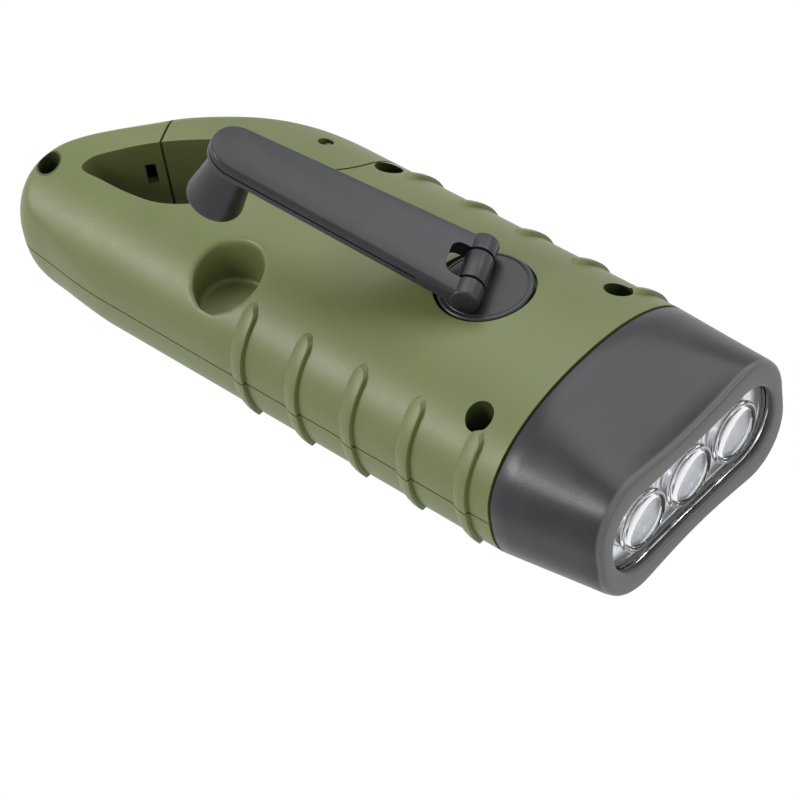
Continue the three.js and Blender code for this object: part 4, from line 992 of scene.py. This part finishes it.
class OBJECT_OT_flashlight_head(bpy.types.Operator):
    """Build the lamp head from the seam to the rounded rim and in through the mouth"""

    bl_idname = "object.flashlight_head"
    bl_label = "Lamp head"

    def execute(self, context):
        sizes = context.scene.flashlight_head
        edge, lip, waist = sizes.rim_edge * 1000, sizes.lip * 1000, sizes.waist * 1000
        back = SEAM + GAP / 2

        def side(x, inset=0.0):
            share = (x - SEAM) / (FRONT - SEAM)
            section, rim = case_section(inset), head_rim(waist, inset)
            return at_x(section + (rim - section) * share, x)

        rings = [side(back, 0.4), side(back + 0.1, 0.15), side(back + 0.4)]
        rings += [side(x) for x in np.linspace(back + 3, FRONT - edge - 0.5, 7)]
        for a in quarter(7):
            rim = head_rim(waist, edge * (1 - math.cos(a)))
            rings.append(at_x(rim, FRONT - edge * (1 - math.sin(a))))
        for a in quarter(7):
            rings.append(at_x(mouth_rim(lip * (1 - math.sin(a))), FRONT - lip * (1 - math.cos(a))))
        rings.append(at_x(mouth_rim(), FRONT - 1))
        rings.append(at_x(mouth_rim(1.0), FRONT - 1))
        rings.append(at_x(mouth_rim(1.0), FRONT - 3.6))
        rings.append(side(back + 3, 2.0))
        rings.append(side(back, 2.0))
        head = sleeved(skinned("lamp_head", rings, ends=False))
        inner, outer, rear, fore = WALL + 2, WALL + GAP, SEAM - 3.4, SEAM + 4
        corners = ((outer, rear), (outer, fore), (inner, fore), (inner, rear))
        walls = [at_x(case_section(inset), x) for inset, x in corners]
        spigot = sleeved(skinned("spigot", walls, ends=False))
        join(head, spigot)
        settle(head, "case", "black_plastic", "head_bezel", angle=40)
        return {"FINISHED"}


def facing_front(piece, x, y):
    """Turns a spun piece so that its axis runs forwards, through a lamp's place."""
    piece.matrix_world = Matrix.Translation((x, y, PARTING)) @ Matrix.Rotation(math.pi / 2, 4, "Y")
    return placed(piece)


def three(profile, name, x, sides=72):
    first = spun(name, profile, sides)
    copies = [copy_of(first, f"{name}_{i}") for i in range(len(LAMPS))]
    bpy.data.objects.remove(first)
    return [facing_front(piece, x, y) for piece, y in zip(copies, LAMPS)]


class OBJECT_OT_flashlight_lamp(bpy.types.Operator):
    """Build the clear lens, the three metallised cups and the LEDs"""

    bl_idname = "object.flashlight_lamp"
    bl_label = "Lens, cups and LEDs"

    def execute(self, context):
        plate = skinned("lens_plate", [
            at_x(mouth_rim(0.35), LENS_FACE - 1.8), at_x(mouth_rim(0.5), LENS_FACE - 1.65),
            at_x(mouth_rim(0.5), LENS_FACE - 0.15), at_x(mouth_rim(0.35), LENS_FACE),
        ])
        dome = [(4.2 * math.sin(a), 0.1 + 0.85 * math.cos(a)) for a in quarter(14)]
        turns = np.linspace(-1.3, 1.5, 12)
        ring_top = [(4.8 + 0.4 * math.sin(a), 0.4 * math.cos(a)) for a in turns]
        profile = [*dome, (4.3, 0.05), *ring_top, (5.2, -0.9), (0.0, -0.9)]
        join(plate, *three(profile, "dome", LENS_FACE))
        settle(plate, "case", "clear_plastic", "lens", angle=25)

        front, back, length = CUP_FRONT, CUP_FRONT - CUP_LENGTH, CUP_LENGTH
        flange = skinned("cup_reflector", [
            at_x(mouth_rim(-0.7), front - 0.8), at_x(mouth_rim(-0.7), front),
        ])
        share = np.linspace(0, 1, 22)
        wall = [(1.9 + 2.8 * math.sqrt(s), s * length) for s in share]
        outer = [(0.0, 0.0), *[(r + 0.8, h) for r, h in wall], (0.0, length)]
        inner = [
            (0.0, -1.0), (1.9, -1.0), *wall[1:-1], (4.62, length - 0.3), (4.85, length),
            (4.85, length + 1), (0.0, length + 1),
        ]
        join(flange, *three(outer, "cup", back))
        cut(flange, *three(inner, "bowl", back))
        settle(flange, "case", "reflector_chrome", "reflector", angle=30)

        bulb = [(1.5 * math.cos(a), 3.3 + 1.5 * math.sin(a)) for a in quarter(12)]
        foot = [(0.0, 0.0), (1.5, 0.0), (1.6, 0.1), (1.6, 0.7), (1.5, 0.8)]
        leds = three([*foot, *bulb[:-1], (0.0, 4.8)], "led", back, sides=48)
        for piece, node in zip(leds, ("led_right", "led_middle", "led_left")):
            piece.name = piece.data.name = node.replace("led", "lamp")
            settle(piece, "case", "led_resin", node)
        return {"FINISHED"}


# Crank


def hub_frame():
    return Matrix.Translation((*HUB, 0)) @ Matrix.Rotation(CRANK_TURN, 4, "Z")


def hinge_frame():
    return hub_frame() @ Matrix.Translation((HINGE_ALONG, 0, HINGE_Z))


def arm_frame():
    return hinge_frame() @ Matrix.Rotation(-CRANK_LIFT, 4, "Y")


def stood(piece, matrix):
    piece.matrix_world = matrix
    return placed(piece)


def barrel(name, radius, half, x=0.0, z=0.0, sides=48):
    """A cylinder along Y."""
    clear_selection()
    bpy.ops.mesh.primitive_cylinder_add(vertices=sides, radius=radius, depth=2 * half)
    piece = named(name)
    piece.rotation_euler = (math.pi / 2, 0, 0)
    piece.location = (x, 0, z)
    return placed(piece)


def arm_half(x):
    return ARM_ROOT + (ARM_TIP - ARM_ROOT) * x / KNOB_ALONG


def arm_outline(grow=0.0, sides=40):
    points = [(0.0, -arm_half(0) - grow)]
    for a in np.linspace(-math.pi / 2, math.pi / 2, sides):
        radius = ARM_TIP + grow
        points.append((KNOB_ALONG + radius * math.cos(a), radius * math.sin(a)))
    points.append((0.0, arm_half(0) + grow))
    return np.array(points)


class OBJECT_OT_flashlight_hub(bpy.types.Operator):
    """Build the hub's disc with its hinge knuckle, and the hinge pin"""

    bl_idname = "object.flashlight_hub"
    bl_label = "Crank hub"

    def execute(self, context):
        rim = [
            (7.5 - 0.55 * (1 - math.cos(a)), DISC_TOP - 0.55 * (1 - math.sin(a)))
            for a in quarter(7)
        ]
        hub = spun("crank_disc", [
            (0.0, 24.0), (3.0, 24.0), (3.0, 26.8), (7.3, 26.8), (7.5, 27.0), *rim,
            (6.85, DISC_TOP), (6.75, DISC_TOP - 0.12), (6.6, DISC_TOP - 0.12),
            (6.5, DISC_TOP - 0.04), (0.0, DISC_TOP - 0.04),
        ], sides=128)
        join(hub, block("square", (-2, 2), (-2, 2), (21.3, 24.2)))
        knuckle = barrel("knuckle", 2.3, 2.75, HINGE_ALONG, HINGE_Z)
        web = (HINGE_ALONG - 1.6, HINGE_ALONG + 2.3)
        join(knuckle, block("web", web, (-2.7, 2.7), (DISC_TOP - 0.5, HINGE_Z)))
        softened(knuckle, 0.25, 3, 40)
        join(hub, knuckle)
        cut(
            hub, barrel("pin_bore", 1.1, 4, HINGE_ALONG, HINGE_Z, 32),
            post("bolt_bore", 0, 0, 1.2, 20, 25.5, 24),
        )
        settle(stood(hub, hub_frame()), "crank", "black_plastic", "crank_hub")
        end = [(0.8 * math.cos(a), 5.9 + 0.3 * math.sin(a)) for a in quarter(6)]
        other = [(r, -h) for r, h in reversed(end[:-1])]
        pin = spun("hinge_axle", [(0.0, -6.2), *other, *end[:-1], (0.0, 6.2)], 32)
        lying = hinge_frame() @ Matrix.Rotation(math.pi / 2, 4, "X")
        settle(stood(pin, lying), "crank", "steel", "hinge_pin")
        return {"FINISHED"}


class OBJECT_OT_flashlight_arm(bpy.types.Operator):
    """Build the forked arm, its knob and the rivet that holds the knob"""

    bl_idname = "object.flashlight_arm"
    bl_label = "Arm and knob"

    def execute(self, context):
        sizes = context.scene.flashlight_crank
        arm = drawn("crank_plate", arm_outline(), -1.5, 1.22)
        softened(arm, sizes.plate_edge * 1000, 4, 40)
        groove = drawn("groove", arm_outline(2), -0.34, -0.08)
        cut(groove, drawn("groove_core", arm_outline(-0.28), -1, 1))
        cut(groove, block("groove_end", (-3, 8), (-9, 9), (-1, 1)))
        cut(arm, groove)
        eye = barrel("eye", 2.3, 6.6)
        softened(eye, 0.35, 4, 40)
        join(arm, eye)
        ends = [
            (4.9 - 1.8 * (1 - math.cos(a)), 3.3 - 1.8 * (1 - math.sin(a)))
            for a in np.linspace(math.pi / 2, 0, 8)
        ]
        lower = [(x, -y) for x, y in reversed(ends)]
        slot = np.array([(-4.0, 3.3), *ends, *lower, (-4.0, -3.3)])
        cut(arm, drawn("slot", slot, -4, 4))
        cut(arm, barrel("pin_bore", 1.1, 6.3, sides=32))
        cut(arm, post("rivet_seat", KNOB_ALONG, 0, 2.4, -4, -0.5, 48))
        settle(stood(arm, arm_frame()), "arm", "black_plastic", "crank_arm", angle=28)

        top, end = -1.8, -11.2
        neck, wide = sizes.knob_neck * 1000, sizes.knob_end * 1000
        shares = np.linspace(0, 1, 14)
        curve = [(neck + (wide - neck) * s ** 1.15, top - 0.5 - 8.2 * s) for s in shares]
        foot = [(wide - 0.8 * (1 - math.cos(a)), end + 0.7 - 0.7 * math.sin(a)) for a in quarter(7)]
        profile = [
            (1.5, top), (neck - 0.3, top), (neck, top - 0.25), *curve, *foot[1:],
            (3.2, end), (3.0, end + 0.25), (2.6, end + 0.3), (2.4, end + 0.4),
            (2.4, end + 1.4), (1.5, end + 1.4),
        ]
        knob = spun("crank_knob", profile, 96)
        at_knob = arm_frame() @ Matrix.Translation((KNOB_ALONG, 0, 0))
        settle(stood(knob, at_knob), "knob", "black_plastic", "knob")
        head = [(2.1 * math.sin(a), end + 0.75 - 0.35 * math.cos(a)) for a in quarter(7)]
        rivet = spun("knob_stud", [
            *head, (2.1, end + 1.05), (2.0, end + 1.1), (1.2, end + 1.1), (1.2, -1.5),
            (2.0, -1.5), (2.1, -1.4), (2.1, -0.9), (2.0, -0.8), (0.0, -0.8),
        ], 48)
        settle(stood(rivet, at_knob), "arm", "steel", "knob_rivet")
        return {"FINISHED"}


# Fasteners, and what shows underneath


class OBJECT_OT_flashlight_fasteners(bpy.types.Operator):
    """Build the case screws and the gate's pin"""

    bl_idname = "object.flashlight_fasteners"
    bl_label = "Screws and gate pin"

    def execute(self, context):
        seat = SCREW_SEAT + 0.3
        head = [(1.8 - 0.5 * (1 - math.cos(a)), seat + 1.3 + 0.5 * math.sin(a)) for a in quarter(6)]
        thread = []
        for h in np.arange(SCREW_SEAT - 10.4, seat - 1.0, 0.7):
            thread += [(0.8, h), (1.0, h + 0.35)]
        first = spun("screw", [
            (0.0, SCREW_SEAT - 11), (0.4, SCREW_SEAT - 11), *thread, (1.0, seat - 0.4),
            (1.0, seat), (1.8, seat), *head, (0.0, seat + 1.8),
        ], 36)
        cross = (seat + 0.9, seat + 3)
        long, thin = (-1.1, 1.1), (-0.28, 0.28)
        cut(first, block("slot_a", long, thin, cross), block("slot_b", thin, long, cross))
        for turn, (node, (x, y)) in enumerate(SCREWS.items()):
            screw = copy_of(first, node.replace("case_", "").replace("screw", "fixing"))
            stood(screw, Matrix.Translation((x, y, 0)) @ Matrix.Rotation(0.4 + turn, 4, "Z"))
            settle(screw, "case", "steel", node)
        bpy.data.objects.remove(first)
        low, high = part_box("gate_pin")
        low, high = low.z * 1000, high.z * 1000
        pin = spun("gate_axle", [
            (0.0, low), (0.8, low), (1.0, low + 0.2), (1.0, high - 0.3), (0.85, high - 0.08),
            (0.5, high), (0.0, high),
        ], 32)
        settle(stood(pin, Matrix.Translation((*PIVOT, 0))), "case", "steel", "gate_pin")
        return {"FINISHED"}


class OBJECT_OT_flashlight_underside(bpy.types.Operator):
    """Build the solar panel, its clear window and the push button"""

    bl_idname = "object.flashlight_underside"
    bl_label = "Solar panel and button"

    def execute(self, context):
        for name, node, body_slot, width in (
            ("cell_panel", "solar_panel", "solar_cell", 0.12),
            ("cell_window", "solar_window", "clear_plastic", 0.3),
        ):
            low, high = [[1000 * v for v in corner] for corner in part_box(node)]
            plate = block(name, *zip(low, high))
            softened(plate, width, 3, 60)
            pick(plate)
            bpy.ops.object.mode_set(mode="EDIT")
            cage = bmesh.from_edit_mesh(plate.data)
            for face in cage.faces:
                face.select_set(face.normal.z < -0.99)
            bmesh.update_edit_mesh(plate.data)
            bpy.ops.mesh.inset(thickness=0.9, depth=-0.08)
            bpy.ops.object.mode_set(mode="OBJECT")
            settle(plate, "case", body_slot, node)
        crown = [(3.0 * math.sin(a), 0.75 - 0.35 * math.cos(a)) for a in quarter(8)]
        button = spun("push_button", [
            *crown, (3.15, 0.8), (3.3, 0.75), (3.6, 0.4), (3.85, 0.45), (4.0, 0.65),
            (4.0, 2.1), (5.0, 2.1), (5.0, 3.1), (1.3, 3.1), (1.3, 4.0), (0.0, 4.0),
        ], 96)
        stood(button, Matrix.Translation((BUTTON_ALONG, 0, 0)))
        settle(button, "button", "black_plastic", "switch_button")
        return {"FINISHED"}


# Studio


def lamp(name, place, target, size, power):
    data = bpy.data.lights.new(name, "AREA")
    data.shape = "RECTANGLE"
    data.size, data.size_y = size
    data.energy = power
    light = bpy.data.objects.new(name, data)
    bpy.context.scene.collection.objects.link(light)
    light.location = place
    light.rotation_euler = (Vector(target) - Vector(place)).to_track_quat("-Z", "Y").to_euler()


def seen_white(tree, lit, white, output):
    """Shows camera, glossy and transmission rays plain white instead of a lit shader."""
    path = tree.nodes.new("ShaderNodeLightPath")
    seen = path.outputs["Is Camera Ray"]
    for other in ("Is Glossy Ray", "Is Transmission Ray"):
        both = tree.nodes.new("ShaderNodeMath")
        both.operation = "MAXIMUM"
        tree.links.new(seen, both.inputs[0])
        tree.links.new(path.outputs[other], both.inputs[1])
        seen = both.outputs[0]
    mix = tree.nodes.new("ShaderNodeMixShader")
    tree.links.new(seen, mix.inputs[0])
    tree.links.new(lit, mix.inputs[1])
    tree.links.new(white, mix.inputs[2])
    tree.links.new(mix.outputs[0], output)


class OBJECT_OT_flashlight_stage(bpy.types.Operator):
    """Make the floor, the lamps, the white surroundings and the camera"""

    bl_idname = "object.flashlight_stage"
    bl_label = "Stage"

    def execute(self, context):
        scene = context.scene
        sizes = scene.flashlight_studio
        clear_selection()
        bpy.ops.mesh.primitive_plane_add(size=sizes.floor, location=(0, 0, -0.0001))
        floor = named("floor")
        paint = bpy.data.materials.new("floor_paint")
        paint.use_nodes = True
        tree = paint.node_tree
        shader = tree.nodes["Principled BSDF"]
        shader.inputs["Base Color"].default_value = (0.86, 0.86, 0.86, 1)
        shader.inputs["Roughness"].default_value = 0.9
        glow = tree.nodes.new("ShaderNodeEmission")
        surface = tree.nodes["Material Output"].inputs["Surface"]
        seen_white(tree, shader.outputs[0], glow.outputs[0], surface)
        floor.data.materials.append(paint)

        world = bpy.data.worlds.new("surroundings")
        world.use_nodes = True
        scene.world = world
        tree = world.node_tree
        soft = tree.nodes["Background"]
        soft.inputs["Color"].default_value = (1, 1, 1, 1)
        soft.inputs["Strength"].default_value = 0.3
        white = tree.nodes.new("ShaderNodeBackground")
        white.inputs["Color"].default_value = (1, 1, 1, 1)
        white.inputs["Strength"].default_value = 1.0
        surface = tree.nodes["World Output"].inputs["Surface"]
        seen_white(tree, soft.outputs[0], white.outputs[0], surface)

        lamp("side_softbox", (-0.60, -0.74, 0.62), (0, 0, 0.01), (0.5, 0.22), 6.5)
        lamp("top_softbox", (-0.25, 0.35, 0.95), (0, 0, 0.01), (0.8, 0.8), 5.0)
        lamp("arm_softbox", (0.17, 0.95, 0.70), (0, 0, 0.03), (0.4, 0.4), 1.6)
        lamp("edge_softbox", (0.85, 0.55, 0.64), (0.04, 0, 0.01), (0.2, 0.2), 1.5)
        lamp("front_softbox", (0.95, -0.25, 0.35), (0, 0, 0.01), (0.5, 0.5), 1.5)

        data = bpy.data.cameras.new("camera")
        data.lens = sizes.lens
        data.sensor_width = 36.0
        data.clip_start = 0.01
        camera = bpy.data.objects.new("camera", data)
        scene.collection.objects.link(camera)
        right, up = (0.7388, 0.6628, -0.1219), (-0.4157, 0.5906, 0.6916)
        back = (0.5304, -0.4603, 0.7119)
        turn = Matrix((right, up, back)).transposed().to_4x4()
        camera.matrix_world = Matrix.Translation((0.27370, -0.23656, 0.36001)) @ turn
        scene.camera = camera
        scene.view_settings.view_transform = "Standard"
        return {"FINISHED"}


PIECES = (
    OBJECT_OT_flashlight_finishes, OBJECT_OT_flashlight_case, OBJECT_OT_flashlight_head,
    OBJECT_OT_flashlight_lamp, OBJECT_OT_flashlight_hub, OBJECT_OT_flashlight_arm,
    OBJECT_OT_flashlight_fasteners, OBJECT_OT_flashlight_underside, OBJECT_OT_flashlight_stage,
)
GROUPS = {
    "flashlight_case": CaseSizes, "flashlight_head": HeadSizes, "flashlight_crank": CrankSizes,
    "flashlight_finishes": Finishes, "flashlight_studio": StudioSizes,
}


class VIEW3D_PT_flashlight(bpy.types.Panel):
    """The flashlight's sizes, colours and pieces"""

    bl_idname = "VIEW3D_PT_flashlight"
    bl_label = "Solar hand crank flashlight"
    bl_space_type = "VIEW_3D"
    bl_region_type = "UI"
    bl_category = "Flashlight"

    def draw(self, context):
        for attribute, group in GROUPS.items():
            box = self.layout.box()
            for key in group.__annotations__:
                box.prop(getattr(context.scene, attribute), key)
        column = self.layout.column(align=True)
        for piece in PIECES:
            column.operator(piece.bl_idname)


def register():
    for item in (*GROUPS.values(), *PIECES, VIEW3D_PT_flashlight):
        bpy.utils.register_class(item)
    for attribute, group in GROUPS.items():
        setattr(bpy.types.Scene, attribute, PointerProperty(type=group))


def unregister():
    for attribute in GROUPS:
        delattr(bpy.types.Scene, attribute)
    for item in reversed((*GROUPS.values(), *PIECES, VIEW3D_PT_flashlight)):
        bpy.utils.unregister_class(item)


def main():
    register()
    for piece in PIECES:
        module, name = piece.bl_idname.split(".")
        getattr(getattr(bpy.ops, module), name)()


if __name__ == "__main__":
    main()
